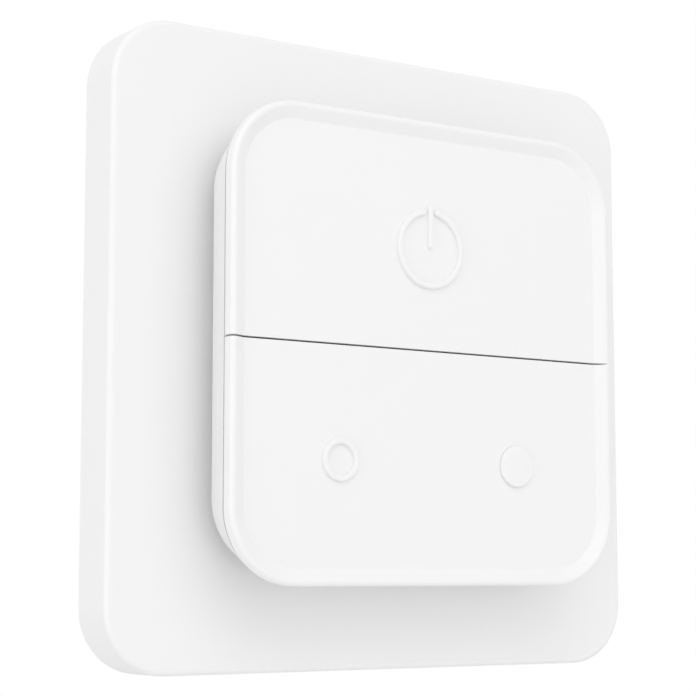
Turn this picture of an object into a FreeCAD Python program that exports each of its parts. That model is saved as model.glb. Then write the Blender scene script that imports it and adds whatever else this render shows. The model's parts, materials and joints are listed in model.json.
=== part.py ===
import FreeCAD, Part
import math
import os
import re
import Sketcher

# Wireless wall switch: a square wall plate and, held in its pocket, a battery remote with two sprung keys.
# X runs right, Y into the wall and Z up. The origin is the middle of the wall side of the plate, so a depth
# in front of the wall is minus Y.

os.makedirs("parts", exist_ok=True)
doc = FreeCAD.newDocument("wireless_wall_switch")

SIZES = (
    # wall plate
    ("plate_half", "43.0"),
    ("plate_depth", "7.8"),
    ("plate_corner", "8.7"),
    ("plate_rounding", "0.75"),
    ("plate_skin", "2.0"),
    ("plate_wall", "2.0"),
    ("pocket_depth", "1.3"),
    ("pocket_floor", "1.6"),
    ("pocket_margin", "1.7"),
    ("hollow_depth", "=plate_depth - plate_skin"),
    ("hollow_half", "=plate_half - plate_wall"),
    ("hollow_corner", "=plate_corner - plate_wall"),
    ("seat_depth", "=plate_depth - pocket_depth"),
    ("boss_rear", "=seat_depth - pocket_floor"),
    # keeper plate and the pegs it is staked on
    ("keeper_thickness", "1.0"),
    ("peg_head_thickness", "0.6"),
    ("peg_play", "0.1"),
    ("keeper_rear", "=boss_rear - keeper_thickness"),
    # mounting plate, its tape and its clips
    ("mount_space", "1.1"),
    ("mount_gap", "3.0"),
    ("mount_thickness", "=keeper_rear - peg_head_thickness - mount_space"),
    ("mount_half", "=hollow_half - mount_gap"),
    ("mount_corner", "=hollow_corner - mount_gap * 0.25"),
    ("slot_radius", "2.1"),
    ("slot_length", "10.0"),
    ("slot_edge", "2.85"),
    ("screw_spacing", "=2 * mount_half - 2 * slot_edge - slot_length"),
    ("tape_half_width", "=mount_half * 0.74"),
    ("tape_height", "=mount_half * 0.34"),
    ("tape_centre", "=mount_half * 0.71"),
    ("tape_thickness", "=mount_thickness * 0.36"),
    ("tape_corner", "1.5"),
    ("tape_play", "0.1"),
    ("clip_play", "0.05"),
    ("arm_thickness", "=mount_gap * 0.4"),
    ("barb_reach", "=mount_gap * 0.33"),
    ("ledge_reach", "=mount_gap * 0.43"),
    ("arm_half_width", "=mount_half * 0.13"),
    ("arm_centre", "=mount_half * 0.53"),
    ("ledge_play", "1.0"),
    ("ledge_rear", "=mount_thickness + (hollow_depth - mount_thickness) * 0.22"),
    ("ledge_thickness", "=(hollow_depth - mount_thickness) * 0.33"),
    ("barb_height", "=(hollow_depth - mount_thickness) * 0.33"),
    ("barb_land", "=barb_height * 0.17"),
    # widths of the remote: each outline lies inside the one before
    ("key_half", "31.57"),
    ("key_corner", "10.0"),
    ("seam_inset", "0.52"),
    ("base_taper", "1.8"),
    ("base_rear_corner", "=key_corner * 0.9"),
    ("skirt_wall", "1.1"),
    ("lip_play", "0.4"),
    ("lip_wall", "0.95"),
    ("frame_play", "0.3"),
    ("neck_inset", "4.25"),
    ("neck_corner", "6.0"),
    ("neck_play", "0.3"),
    ("neck_rounding", "0.4"),
    ("base_rounding", "0.25"),
    ("housing_wall", "1.3"),
    ("seam_half", "=key_half - seam_inset"),
    ("seam_corner", "=key_corner - seam_inset"),
    ("skirt_half", "=seam_half - skirt_wall"),
    ("lip_half", "=skirt_half - lip_play"),
    ("lip_corner", "=seam_corner - skirt_wall - lip_play"),
    ("cavity_half", "=lip_half - lip_wall"),
    ("cavity_corner", "=lip_corner - lip_wall"),
    ("frame_half", "=cavity_half - frame_play"),
    ("base_rear_half", "=seam_half - base_taper"),
    ("neck_half", "=base_rear_half - neck_inset"),
    ("pocket_half", "=neck_half + neck_play"),
    ("boss_half", "=pocket_half + pocket_margin"),
    ("keeper_half", "=neck_half * 0.92"),
    ("keeper_corner", "=neck_half * 0.12"),
    ("peg_place", "=neck_half * 0.68"),
    ("peg_radius", "=neck_half * 0.05"),
    ("peg_head_radius", "=peg_radius * 1.6"),
    ("post_place", "=neck_half - neck_corner * 0.78"),
    ("post_radius", "=neck_corner * 0.4"),
    ("board_half", "=neck_half * 0.92"),
    ("board_corner", "=neck_half * 0.08"),
    # depths of the remote: each layer is set on the one behind
    ("base_lift", "2.5"),
    ("housing_floor", "1.2"),
    ("cell_thickness", "3.2"),
    ("contact_reach", "1.9"),
    ("board_thickness", "1.0"),
    ("foot_height", "0.5"),
    ("pivot_radius", "0.7"),
    ("pivot_play", "0.05"),
    ("ear_wall", "0.6"),
    ("ear_play", "0.45"),
    ("rim_play", "0.3"),
    ("seam_gap", "0.35"),
    ("lip_height", "0.4"),
    ("skirt_height", "0.5"),
    ("key_skin", "1.25"),
    ("slope_width", "1.8"),
    ("slope_depth", "0.77"),
    ("crest_rounding", "0.53"),
    ("base_rear", "=plate_depth + base_lift"),
    ("base_floor_front", "=base_rear + housing_floor"),
    ("floor_front", "=seat_depth + housing_floor"),
    ("cell_front", "=floor_front + cell_thickness"),
    ("board_rear", "=cell_front + contact_reach"),
    ("board_front", "=board_rear + board_thickness"),
    ("frame_rear", "=board_front + foot_height"),
    ("pivot_bore", "=pivot_radius + pivot_play"),
    ("ear_rise", "1.0"),
    ("frame_thickness", "=2 * (pivot_bore + ear_wall) - ear_rise"),
    ("frame_front", "=frame_rear + frame_thickness"),
    ("seam_rear", "=frame_front + rim_play"),
    ("lip_front", "=seam_rear + lip_height"),
    ("seam_front", "=seam_rear + seam_gap"),
    ("key_inside", "=seam_front + skirt_height"),
    ("face_depth", "=key_inside + key_skin"),
    ("crest_depth", "=face_depth + slope_depth"),
    ("key_widest", "=seam_front + (crest_depth - crest_rounding - seam_front) * 0.628"),
    ("crest_half", "=key_half - crest_rounding"),
    ("face_half", "=crest_half - slope_width"),
    ("key_gap", "0.3"),
    ("rib_height", "=ear_play + 0.1"),
    ("rib_thickness", "0.8"),
    ("rib_place", "=frame_half * 0.353"),
    ("rib_start", "=frame_half * 0.106"),
    ("rib_end", "=frame_half * 0.85"),
    # symbols, raised on the keys
    ("symbol_height", "0.4"),
    ("symbol_stroke", "0.8"),
    ("ring_centre", "=face_half * 0.477"),
    ("ring_radius", "5.1"),
    ("ring_opening", "1.15"),
    ("bar_low", "=ring_centre + 0.01 * ring_radius"),
    ("bar_high", "=ring_centre + 1.2 * ring_radius"),
    ("dot_place", "=face_half * 0.501"),
    ("dot_height", "=-face_half * 0.52"),
    ("dot_radius", "2.85"),
    # snap domes under the keys
    ("dome_radius", "2.5"),
    ("dome_height", "0.3"),
    ("dome_sheet", "=dome_height / 3"),
    # pivots of the keys in the key frame
    ("lug_thickness", "1.6"),
    ("lug_half_width", "1.1"),
    ("lug_play", "0.3"),
    ("side_play", "0.2"),
    ("pin_play", "0.2"),
    ("ear_thickness", "2.0"),
    ("ear_margin", "0.9"),
    ("ear_front", "=key_inside - ear_play"),
    ("pivot_depth", "=ear_front - ear_wall - pivot_bore"),
    ("ear_rear", "=pivot_depth - pivot_bore - ear_wall"),
    ("ear_half_width", "=lug_half_width + lug_play"),
    ("upper_pivot_height", "=frame_half - ear_margin - ear_half_width"),
    ("upper_ear_place", "=frame_half * 0.749"),
    ("lower_ear_top", "=-frame_half * 0.18"),
    ("lower_ear_bottom", "=ear_thickness + ear_margin - frame_half"),
    ("nib_radius", "=dome_radius * 0.48"),
    ("nib_window", "=nib_radius + 0.7"),
    ("nib_play", "0.05"),
    ("nib_end", "=board_front + dome_height + nib_play"),
    ("upper_nib_height", "=frame_half * 0.353"),
    ("lower_nib_place", "=frame_half * 0.6"),
    ("dome_margin", "1.4"),
    ("lower_nib_height", "=-(post_place - post_radius - dome_radius - dome_margin)"),
    # what the board carries
    ("radio_height", "=-(board_half * 0.74)"),
    ("shield_half_width", "=board_half * 0.24"),
    ("shield_half_height", "=board_half * 0.2"),
    ("shield_depth", "=contact_reach * 0.68"),
    ("shield_sheet", "=shield_half_height * 0.045"),
    ("chip_half", "=shield_half_height * 0.44"),
    ("chip_thickness", "=shield_depth * 0.65"),
    ("crystal_half_width", "=board_half * 0.07"),
    ("crystal_half_height", "=board_half * 0.054"),
    ("crystal_place", "=shield_half_width + 1.7 * crystal_half_width + crystal_half_height"),
    ("crystal_depth", "=contact_reach * 0.42"),
    # battery, its door and contacts
    ("cell_radius", "=neck_half * 0.4"),
    ("cell_cap_radius", "=cell_radius * 0.87"),
    ("cell_cap_height", "=cell_thickness * 0.09"),
    ("cell_edge", "=cell_thickness * 0.12"),
    ("door_play", "0.15"),
    ("door_cup_wall", "1.0"),
    ("door_cup_depth", "=cell_thickness * 0.4"),
    ("door_radius", "=cell_radius * 1.26"),
    ("door_lug_reach", "=cell_radius * 0.15"),
    ("door_lug_half_width", "=cell_radius * 0.25"),
    ("door_lug_thickness", "=door_cup_depth * 0.62"),
    ("coin_slot_half_length", "=cell_radius * 0.7"),
    ("coin_slot_half_width", "=cell_radius * 0.09"),
    ("coin_slot_depth", "=housing_floor * 0.55"),
    ("contact_sheet", "=contact_reach / 9"),
    ("contact_width", "=cell_radius * 0.4"),
    # magnets and screws
    ("magnet_radius", "=neck_half * 0.12"),
    ("magnet_thickness", "=cell_thickness * 0.47"),
    ("magnet_place", "=post_place * 0.91"),
    ("magnet_height", "=post_place * 0.54"),
    ("magnet_play", "0.03"),
    ("socket_wall", "=magnet_radius * 0.28"),
    ("socket_depth", "=magnet_thickness * 0.87"),
    ("pilot_play", "0.05"),
    ("screw_radius", "=post_radius * 0.4"),
    ("screw_head_radius", "=post_radius * 0.8"),
    ("screw_head_thickness", "=frame_thickness * 0.53"),
    ("screw_tip_play", "=contact_reach * 0.65"),
    ("pilot_floor", "=contact_reach * 0.53"),
    ("head_rear", "=frame_front - screw_head_thickness"),
    ("screw_length", "=head_rear - floor_front - pilot_floor - screw_tip_play"),
    ("screw_play", "=screw_radius * 0.2"),
)

# points nearer than this are the same point
CLOSE = 0.0001

sheet = doc.addObject("Spreadsheet::Sheet", "dims")
NAMES = [name for name, content in SIZES]
for row, (name, content) in enumerate(SIZES, 1):
    sheet.set("A%d" % row, name)
    sheet.set("B%d" % row, content)
    sheet.setAlias("B%d" % row, name)
doc.recompute()
VALUES = {name: float(sheet.get(name)) for name in NAMES}


def linked(expression):
    """The expression with each named size read from the sheet."""
    return re.sub(
        r"[a-z][a-z_]+", lambda word: "dims." + word[0] if word[0] in NAMES else word[0], expression)


def number(expression):
    """What the expression comes to with the sizes as they are."""
    text = re.sub(r"[a-z][a-z_]+", lambda word: "(%.9f)" % VALUES[word[0]], expression)
    return FreeCAD.Units.Quantity(text).Value


def origin_item(body, role):
    return [feature for feature in body.Origin.OriginFeatures if feature.Role == role][0]


def new_body(label):
    body = doc.addObject("PartDesign::Body", label)
    body.Label = label
    return body


def new_sketch(body, name, offset, role="XZ_Plane"):
    """A sketch on a plane of the body, moved along that plane's normal; on XZ the offset is the depth."""
    sketch = body.newObject("Sketcher::SketchObject", body.Name + "_" + name)
    sketch.AttachmentSupport = (origin_item(body, role), [""])
    sketch.MapMode = "FlatFace"
    sketch.setExpression("AttachmentOffset.Base.z", linked(offset))
    return sketch


def hold(sketch, kind, geometry, point, axis, expression):
    """Sets one coordinate of a point, measured from the sketch's origin."""
    value = number(expression)
    if abs(value) < CLOSE:
        sketch.addConstraint(Sketcher.Constraint("PointOnObject", geometry, point, axis))
    elif value > 0:
        index = sketch.addConstraint(Sketcher.Constraint(kind, -1, 1, geometry, point, value))
        sketch.setExpression("Constraints[%d]" % index, linked(expression))
    else:
        index = sketch.addConstraint(Sketcher.Constraint(kind, geometry, point, -1, 1, -value))
        sketch.setExpression("Constraints[%d]" % index, linked("-(" + expression + ")"))


def place(sketch, geometry, point, across, up):
    hold(sketch, "DistanceX", geometry, point, -2, across)
    hold(sketch, "DistanceY", geometry, point, -1, up)


def set_radius(sketch, geometry, expression):
    index = sketch.addConstraint(Sketcher.Constraint("Radius", geometry, number(expression)))
    sketch.setExpression("Constraints[%d]" % index, linked(expression))


def circle(sketch, across, up, radius):
    centre = FreeCAD.Vector(number(across), number(up), 0)
    shape = sketch.addGeometry(Part.Circle(centre, FreeCAD.Vector(0, 0, 1), number(radius)))
    place(sketch, shape, 3, across, up)
    set_radius(sketch, shape, radius)


def polygon(sketch, points):
    """A closed line through points whose coordinates are expressions."""
    corners = [FreeCAD.Vector(number(across), number(up), 0) for across, up in points]
    count = len(corners)
    first = sketch.GeometryCount
    for i in range(count):
        sketch.addGeometry(Part.LineSegment(corners[i], corners[(i + 1) % count]))
    for i in range(count):
        sketch.addConstraint(Sketcher.Constraint("Coincident", first + i, 2, first + (i + 1) % count, 1))
        place(sketch, first + i, 1, points[i][0], points[i][1])


def rectangle(sketch, left, right, low, high):
    polygon(sketch, ((left, low), (right, low), (right, high), (left, high)))


def rounded(sketch, half_width, half_height, corner, up="0"):
    """A rounded rectangle about a point on the sketch's vertical axis."""
    reach = number(half_width)
    rise = number(half_height)
    turn = number(corner)
    middle = number(up)
    first = sketch.GeometryCount
    inner = (reach - turn, rise - turn)
    sides = (
        ((-inner[0], middle - rise), (inner[0], middle - rise)),
        ((reach, middle - inner[1]), (reach, middle + inner[1])),
        ((inner[0], middle + rise), (-inner[0], middle + rise)),
        ((-reach, middle + inner[1]), (-reach, middle - inner[1])),
    )
    turns = ((1, -1, -90), (1, 1, 0), (-1, 1, 90), (-1, -1, 180))
    for start, end in sides:
        sketch.addGeometry(Part.LineSegment(FreeCAD.Vector(*start, 0), FreeCAD.Vector(*end, 0)))
    for side, level, angle in turns:
        centre = FreeCAD.Vector(side * inner[0], middle + level * inner[1], 0)
        full = Part.Circle(centre, FreeCAD.Vector(0, 0, 1), turn)
        start = angle * math.pi / 180
        sketch.addGeometry(Part.ArcOfCircle(full, start, start + math.pi / 2))
    for i in range(4):
        arc = first + 4 + i
        sketch.addConstraint(Sketcher.Constraint("Tangent", first + i, 2, arc, 1))
        sketch.addConstraint(Sketcher.Constraint("Tangent", arc, 2, first + (i + 1) % 4, 1))
    for i, (side, level, angle) in enumerate(turns):
        sign = "" if side > 0 else "-"
        across = "%s((%s) - (%s))" % (sign, half_width, corner)
        height = "(%s) %s ((%s) - (%s))" % (up, "+" if level > 0 else "-", half_height, corner)
        place(sketch, first + 4 + i, 3, across, height)
    set_radius(sketch, first + 4, corner)
    for i in range(1, 4):
        sketch.addConstraint(Sketcher.Constraint("Equal", first + 4, first + 4 + i))


def slot(sketch, start, end, radius, upright=False):
    """A round-ended slot between two points, each a pair of expressions."""
    a = FreeCAD.Vector(number(start[0]), number(start[1]), 0)
    b = FreeCAD.Vector(number(end[0]), number(end[1]), 0)
    turn = number(radius)
    quarter = math.pi / 2
    shift = quarter if upright else 0.0
    side = FreeCAD.Vector(turn, 0, 0) if upright else FreeCAD.Vector(0, -turn, 0)
    first = sketch.GeometryCount
    sketch.addGeometry(Part.LineSegment(a + side, b + side))
    full = Part.Circle(b, FreeCAD.Vector(0, 0, 1), turn)
    sketch.addGeometry(Part.ArcOfCircle(full, shift - quarter, shift + quarter))
    sketch.addGeometry(Part.LineSegment(b - side, a - side))
    full = Part.Circle(a, FreeCAD.Vector(0, 0, 1), turn)
    sketch.addGeometry(Part.ArcOfCircle(full, shift + quarter, shift + 3 * quarter))
    for i in range(4):
        sketch.addConstraint(Sketcher.Constraint("Tangent", first + i, 2, first + (i + 1) % 4, 1))
    place(sketch, first + 1, 3, end[0], end[1])
    place(sketch, first + 3, 3, start[0], start[1])
    set_radius(sketch, first + 1, radius)


def open_ring(sketch, centre, radius, stroke, opening):
    """A ring with round ends, whose end centres stand off the upright axis by the opening."""
    angle = math.asin(number(opening) / number(radius))
    middle = FreeCAD.Vector(0, number(centre), 0)
    mean = number(radius)
    half = number(stroke) / 2
    axis = FreeCAD.Vector(0, 0, 1)
    left = math.pi / 2 + angle
    right = 2.5 * math.pi - angle
    ends = [middle + FreeCAD.Vector(mean * math.cos(a), mean * math.sin(a), 0) for a in (left, right)]
    sketch.addGeometry(Part.ArcOfCircle(Part.Circle(middle, axis, mean + half), left, right))
    sketch.addGeometry(Part.ArcOfCircle(Part.Circle(middle, axis, mean - half), left, right))
    sketch.addGeometry(Part.ArcOfCircle(Part.Circle(ends[1], axis, half), right, right + math.pi))
    sketch.addGeometry(Part.ArcOfCircle(Part.Circle(ends[0], axis, half), left + math.pi, left + 2 * math.pi))
    sketch.addConstraint(Sketcher.Constraint("Tangent", 0, 2, 2, 1))
    sketch.addConstraint(Sketcher.Constraint("Tangent", 2, 2, 1, 2))
    sketch.addConstraint(Sketcher.Constraint("Tangent", 1, 1, 3, 1))
    sketch.addConstraint(Sketcher.Constraint("Tangent", 3, 2, 0, 1))
    place(sketch, 0, 3, "0", centre)
    sketch.addConstraint(Sketcher.Constraint("Coincident", 0, 3, 1, 3))
    set_radius(sketch, 0, "%s + %s / 2" % (radius, stroke))
    set_radius(sketch, 1, "%s - %s / 2" % (radius, stroke))
    hold(sketch, "DistanceX", 2, 3, -2, opening)
    hold(sketch, "DistanceX", 3, 3, -2, "-" + opening)


def extrude(kind, body, sketch, length, back=False, both=False):
    """A pad grows along the sketch's normal and a pocket cuts against it, unless turned back."""
    feature = body.newObject("PartDesign::" + kind, sketch.Name + "_" + kind.lower())
    feature.Profile = sketch
    feature.setExpression("Length", linked(length))
    feature.Reversed = back
    if both:
        feature.Midplane = True
    sketch.Visibility = False
    doc.recompute()
    return feature


def pad(body, sketch, length, back=False, both=False):
    return extrude("Pad", body, sketch, length, back, both)


def pocket(body, sketch, length, back=False, both=False):
    return extrude("Pocket", body, sketch, length, back, both)


def mirrored(body, name, originals, role):
    feature = body.newObject("PartDesign::Mirrored", body.Name + "_" + name)
    feature.Originals = originals
    feature.MirrorPlane = (origin_item(body, role), [""])
    body.Tip = feature
    doc.recompute()
    return feature


def revolved(body, sketch):
    feature = body.newObject("PartDesign::Revolution", sketch.Name + "_revolution")
    feature.Profile = sketch
    feature.ReferenceAxis = (sketch, ["H_Axis"])
    feature.Angle = 360
    sketch.Visibility = False
    doc.recompute()
    return feature


def edges_where(feature, test):
    return ["Edge%d" % i for i, edge in enumerate(feature.Shape.Edges, 1) if test(edge)]


def rounding(body, name, base, edges, radius):
    feature = body.newObject("PartDesign::Fillet", body.Name + "_" + name)
    feature.Base = (base, edges)
    feature.setExpression("Radius", linked(radius))
    doc.recompute()
    return feature


def at_depth(edge, depth, half=None):
    """True for an edge that lies at this depth, and outside this half width when one is given."""
    box = edge.BoundBox
    flat = abs(box.YMin + depth) < CLOSE and abs(box.YMax + depth) < CLOSE
    reach = max(abs(box.XMin), abs(box.XMax), abs(box.ZMin), abs(box.ZMax))
    return flat and (half is None or reach > half)


def four_circles(sketch, across, up, radius):
    for side in ("", "-"):
        for level in ("", "-"):
            circle(sketch, side + across, level + up, radius)


# wall plate: a shallow tray that opens to the wall, with the pocket for the remote's neck in its front
wall_plate = new_body("wall_plate")
outline = new_sketch(wall_plate, "outline", "0")
rounded(outline, "plate_half", "plate_half", "plate_corner")
blank = pad(wall_plate, outline, "plate_depth")
front_edges = edges_where(blank, lambda edge: at_depth(edge, number("plate_depth")))
rounding(wall_plate, "front_rounding", blank, front_edges, "plate_rounding")
hollow = new_sketch(wall_plate, "hollow", "0")
rounded(hollow, "hollow_half", "hollow_half", "hollow_corner")
pocket(wall_plate, hollow, "hollow_depth", back=True)
boss = new_sketch(wall_plate, "boss", "boss_rear")
rounded(boss, "boss_half", "boss_half", "neck_corner + pocket_margin")
pad(wall_plate, boss, "hollow_depth - boss_rear")
seat = new_sketch(wall_plate, "seat", "plate_depth")
rounded(seat, "pocket_half", "pocket_half", "neck_corner + neck_play")
pocket(wall_plate, seat, "pocket_depth")
ledges = new_sketch(wall_plate, "ledges", "ledge_rear")
ledge_half = "(arm_half_width + ledge_play)"
wall_middle = "(hollow_half + plate_wall / 2)"
for left, right in (
        ("hollow_half - ledge_reach", wall_middle),
        ("-" + wall_middle, "ledge_reach - hollow_half")):
    for level in ("arm_centre", "-arm_centre"):
        rectangle(ledges, left, right, level + " - " + ledge_half, level + " + " + ledge_half)
pad(wall_plate, ledges, "ledge_thickness")
pegs = new_sketch(wall_plate, "pegs", "boss_rear")
four_circles(pegs, "peg_place", "peg_place", "peg_radius")
pad(wall_plate, pegs, "keeper_thickness", back=True)
peg_heads = new_sketch(wall_plate, "peg_heads", "keeper_rear")
four_circles(peg_heads, "peg_place", "peg_place", "peg_head_radius")
pad(wall_plate, peg_heads, "peg_head_thickness", back=True)

# mounting plate: goes on the wall box with two screws through its slots, or on tape, and clips the wall plate
mounting_plate = new_body("mounting_plate")
outline = new_sketch(mounting_plate, "outline", "0")
rounded(outline, "mount_half", "mount_half", "mount_corner")
pad(mounting_plate, outline, "mount_thickness")
slots = new_sketch(mounting_plate, "slots", "mount_thickness")
near = "((screw_spacing - slot_length) / 2 + slot_radius)"
far = "((screw_spacing + slot_length) / 2 - slot_radius)"
slot(slots, (near, "0"), (far, "0"), "slot_radius")
slot(slots, ("-" + far, "0"), ("-" + near, "0"), "slot_radius")
pocket(mounting_plate, slots, "mount_thickness")
recess = new_sketch(mounting_plate, "recess", "0")
rounded(recess, "tape_half_width", "tape_height / 2", "tape_corner", "tape_centre")
recess_pocket = pocket(mounting_plate, recess, "tape_thickness", back=True)
mirrored(mounting_plate, "recesses", [recess_pocket], "XY_Plane")
arms = new_sketch(mounting_plate, "arms", "arm_centre - arm_half_width", "XY_Plane")
catch = "-(ledge_rear + ledge_thickness + clip_play)"
for side in ("", "-"):
    inner = side + "mount_half"
    outer = side + "(mount_half + arm_thickness)"
    tip = side + "(mount_half + arm_thickness + barb_reach)"
    polygon(arms, (
        (inner, "0"), (outer, "0"), (outer, catch), (tip, catch),
        (tip, catch + " - barb_land"), (outer, catch + " - barb_height"), (inner, catch + " - barb_height"),
    ))
arms_pad = pad(mounting_plate, arms, "2 * arm_half_width")
mirrored(mounting_plate, "lower_arms", [arms_pad], "XY_Plane")

# tape in the mounting plate's recesses, flush with the wall side
for label, sign in (("adhesive_pad_upper", ""), ("adhesive_pad_lower", "-")):
    tape = new_body(label)
    outline = new_sketch(tape, "outline", "0")
    rounded(outline, "tape_half_width - tape_play", "tape_height / 2 - tape_play", "tape_corner - tape_play")
    pad(tape, outline, "tape_thickness")
    tape.setExpression("Placement.Base.z", linked(sign + "tape_centre"))

# keeper plate: sheet steel staked on the pegs behind the pocket
keeper_plate = new_body("keeper_plate")
outline = new_sketch(keeper_plate, "outline", "keeper_rear")
rounded(outline, "keeper_half", "keeper_half", "keeper_corner")
four_circles(outline, "peg_place", "peg_place", "peg_radius + peg_play")
pad(keeper_plate, outline, "keeper_thickness")

# rear housing: a square neck, and a base that widens from its rear edge to the seam under the keys
rear_housing = new_body("rear_housing")
neck = new_sketch(rear_housing, "neck", "seat_depth")
rounded(neck, "neck_half", "neck_half", "neck_corner")
neck_pad = pad(rear_housing, neck, "base_floor_front - seat_depth")
neck_edges = edges_where(neck_pad, lambda edge: at_depth(edge, number("seat_depth")))
rounding(rear_housing, "neck_rounding", neck_pad, neck_edges, "neck_rounding")
rear_outline = new_sketch(rear_housing, "rear_outline", "base_rear")
rounded(rear_outline, "base_rear_half", "base_rear_half", "base_rear_corner")
seam_outline = new_sketch(rear_housing, "seam_outline", "seam_rear")
rounded(seam_outline, "seam_half", "seam_half", "seam_corner")
flare = rear_housing.newObject("PartDesign::AdditiveLoft", "rear_housing_flare")
flare.Profile = rear_outline
flare.Sections = [seam_outline]
flare.Ruled = True
doc.recompute()
flare_edges = edges_where(flare, lambda edge: at_depth(edge, number("base_rear"), number("neck_half * 1.02")))
rounding(rear_housing, "rear_rounding", flare, flare_edges, "base_rounding")
lip = new_sketch(rear_housing, "lip", "seam_rear")
rounded(lip, "lip_half", "lip_half", "lip_corner")
pad(rear_housing, lip, "lip_height")
cavity = new_sketch(rear_housing, "cavity", "lip_front")
rounded(cavity, "cavity_half", "cavity_half", "cavity_corner")
pocket(rear_housing, cavity, "lip_front - base_floor_front")
neck_cavity = new_sketch(rear_housing, "neck_cavity", "base_floor_front")
rounded(neck_cavity, "neck_half - housing_wall", "neck_half - housing_wall", "neck_corner - housing_wall")
pocket(rear_housing, neck_cavity, "base_floor_front - floor_front")
door_hole = new_sketch(rear_housing, "door_hole", "floor_front")
circle(door_hole, "0", "0", "door_radius + door_play")
pocket(rear_housing, door_hole, "housing_floor")
notch = new_sketch(rear_housing, "notch", "floor_front")
notch_half = "door_lug_half_width + 2 * door_play"
rectangle(notch, "-(" + notch_half + ")", notch_half,
          "door_radius * 0.9", "door_radius + door_lug_reach + door_play")
notch_pocket = pocket(rear_housing, notch, "housing_floor")
notches = rear_housing.newObject("PartDesign::PolarPattern", "rear_housing_notches")
notches.Originals = [notch_pocket]
notches.Axis = (origin_item(rear_housing, "Y_Axis"), [""])
notches.Occurrences = 3
notches.Angle = 360
rear_housing.Tip = notches
doc.recompute()
posts = new_sketch(rear_housing, "posts", "floor_front")
four_circles(posts, "post_place", "post_place", "post_radius")
pad(rear_housing, posts, "board_rear - floor_front")
pilots = new_sketch(rear_housing, "pilots", "board_rear")
four_circles(pilots, "post_place", "post_place", "screw_radius + pilot_play")
pocket(rear_housing, pilots, "board_rear - floor_front - pilot_floor")
sockets = new_sketch(rear_housing, "sockets", "floor_front")
four_circles(sockets, "magnet_place", "magnet_height", "magnet_radius + socket_wall")
four_circles(sockets, "magnet_place", "magnet_height", "magnet_radius + magnet_play")
pad(rear_housing, sockets, "socket_depth")

# battery door: a bayonet lid flush with the neck, with a cup that centres the cell
battery_door = new_body("battery_door")
lid = new_sketch(battery_door, "lid", "seat_depth")
circle(lid, "0", "0", "door_radius")
pad(battery_door, lid, "housing_floor")
cup = new_sketch(battery_door, "cup", "floor_front")
circle(cup, "0", "0", "cell_radius + door_play + door_cup_wall")
circle(cup, "0", "0", "cell_radius + door_play")
pad(battery_door, cup, "door_cup_depth")
lug = new_sketch(battery_door, "lug", "floor_front")
rectangle(lug, "-door_lug_half_width", "door_lug_half_width",
          "-(door_radius + door_lug_reach)", "-(cell_radius + door_play + door_cup_wall / 2)")
lug_pad = pad(battery_door, lug, "door_lug_thickness")
lugs = battery_door.newObject("PartDesign::PolarPattern", "battery_door_lugs")
lugs.Originals = [lug_pad]
lugs.Axis = (origin_item(battery_door, "Y_Axis"), [""])
lugs.Occurrences = 3
lugs.Angle = 360
battery_door.Tip = lugs
doc.recompute()
coin_slot = new_sketch(battery_door, "coin_slot", "seat_depth")
slot(coin_slot, ("-coin_slot_half_length", "0"), ("coin_slot_half_length", "0"), "coin_slot_half_width")
pocket(battery_door, coin_slot, "coin_slot_depth", back=True)

# coin cell: its can against the door, its cap towards the board
coin_cell = new_body("coin_cell")
section = new_sketch(coin_cell, "section", "0", "YZ_Plane")
polygon(section, (
    ("-floor_front", "0"),
    ("-floor_front", "cell_radius - cell_edge"),
    ("-(floor_front + cell_edge)", "cell_radius"),
    ("cell_cap_height + cell_edge - cell_front", "cell_radius"),
    ("cell_cap_height - cell_front", "cell_radius - cell_edge"),
    ("cell_cap_height - cell_front", "cell_cap_radius"),
    ("-cell_front", "cell_cap_radius - cell_cap_height"),
    ("-cell_front", "0"),
))
revolved(coin_cell, section)

# spring contacts on the board: one on the cap, one on the side of the can
negative_contact = new_body("negative_contact")
strip = new_sketch(negative_contact, "strip", "0", "YZ_Plane")
polygon(strip, (
    ("-board_rear", "cell_radius * 0.7"),
    ("-board_rear", "cell_radius * 0.3"),
    ("-(cell_front + contact_sheet)", "-cell_radius * 0.1"),
    ("-(cell_front + contact_sheet)", "-cell_radius * 0.25"),
    ("-cell_front", "-cell_radius * 0.25"),
    ("-cell_front", "-cell_radius * 0.09"),
    ("-(board_rear - contact_sheet)", "cell_radius * 0.31"),
    ("-(board_rear - contact_sheet)", "cell_radius * 0.7"),
))
pad(negative_contact, strip, "contact_width", both=True)

positive_contact = new_body("positive_contact")
strip = new_sketch(positive_contact, "strip", "0", "XY_Plane")
blade_end = "-(floor_front + door_cup_depth + 2 * door_play)"
polygon(strip, (
    ("cell_radius * 1.35", "-board_rear"),
    ("cell_radius + magnet_play", "-board_rear"),
    ("cell_radius + magnet_play", blade_end),
    ("cell_radius + magnet_play + contact_sheet", blade_end),
    ("cell_radius + magnet_play + contact_sheet", "-(board_rear - contact_sheet)"),
    ("cell_radius * 1.35", "-(board_rear - contact_sheet)"),
))
pad(positive_contact, strip, "contact_width", both=True)

# circuit board with its four screw holes
circuit_board = new_body("circuit_board")
outline = new_sketch(circuit_board, "outline", "board_rear")
rounded(outline, "board_half", "board_half", "board_corner")
four_circles(outline, "post_place", "post_place", "screw_radius + screw_play")
pad(circuit_board, outline, "board_thickness")

# radio chip under its shield, and the crystal beside it, on the rear of the board
radio_chip = new_body("radio_chip")
outline = new_sketch(radio_chip, "outline", "board_rear")
rectangle(outline, "-chip_half", "chip_half", "radio_height - chip_half", "radio_height + chip_half")
pad(radio_chip, outline, "chip_thickness", back=True)

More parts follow.
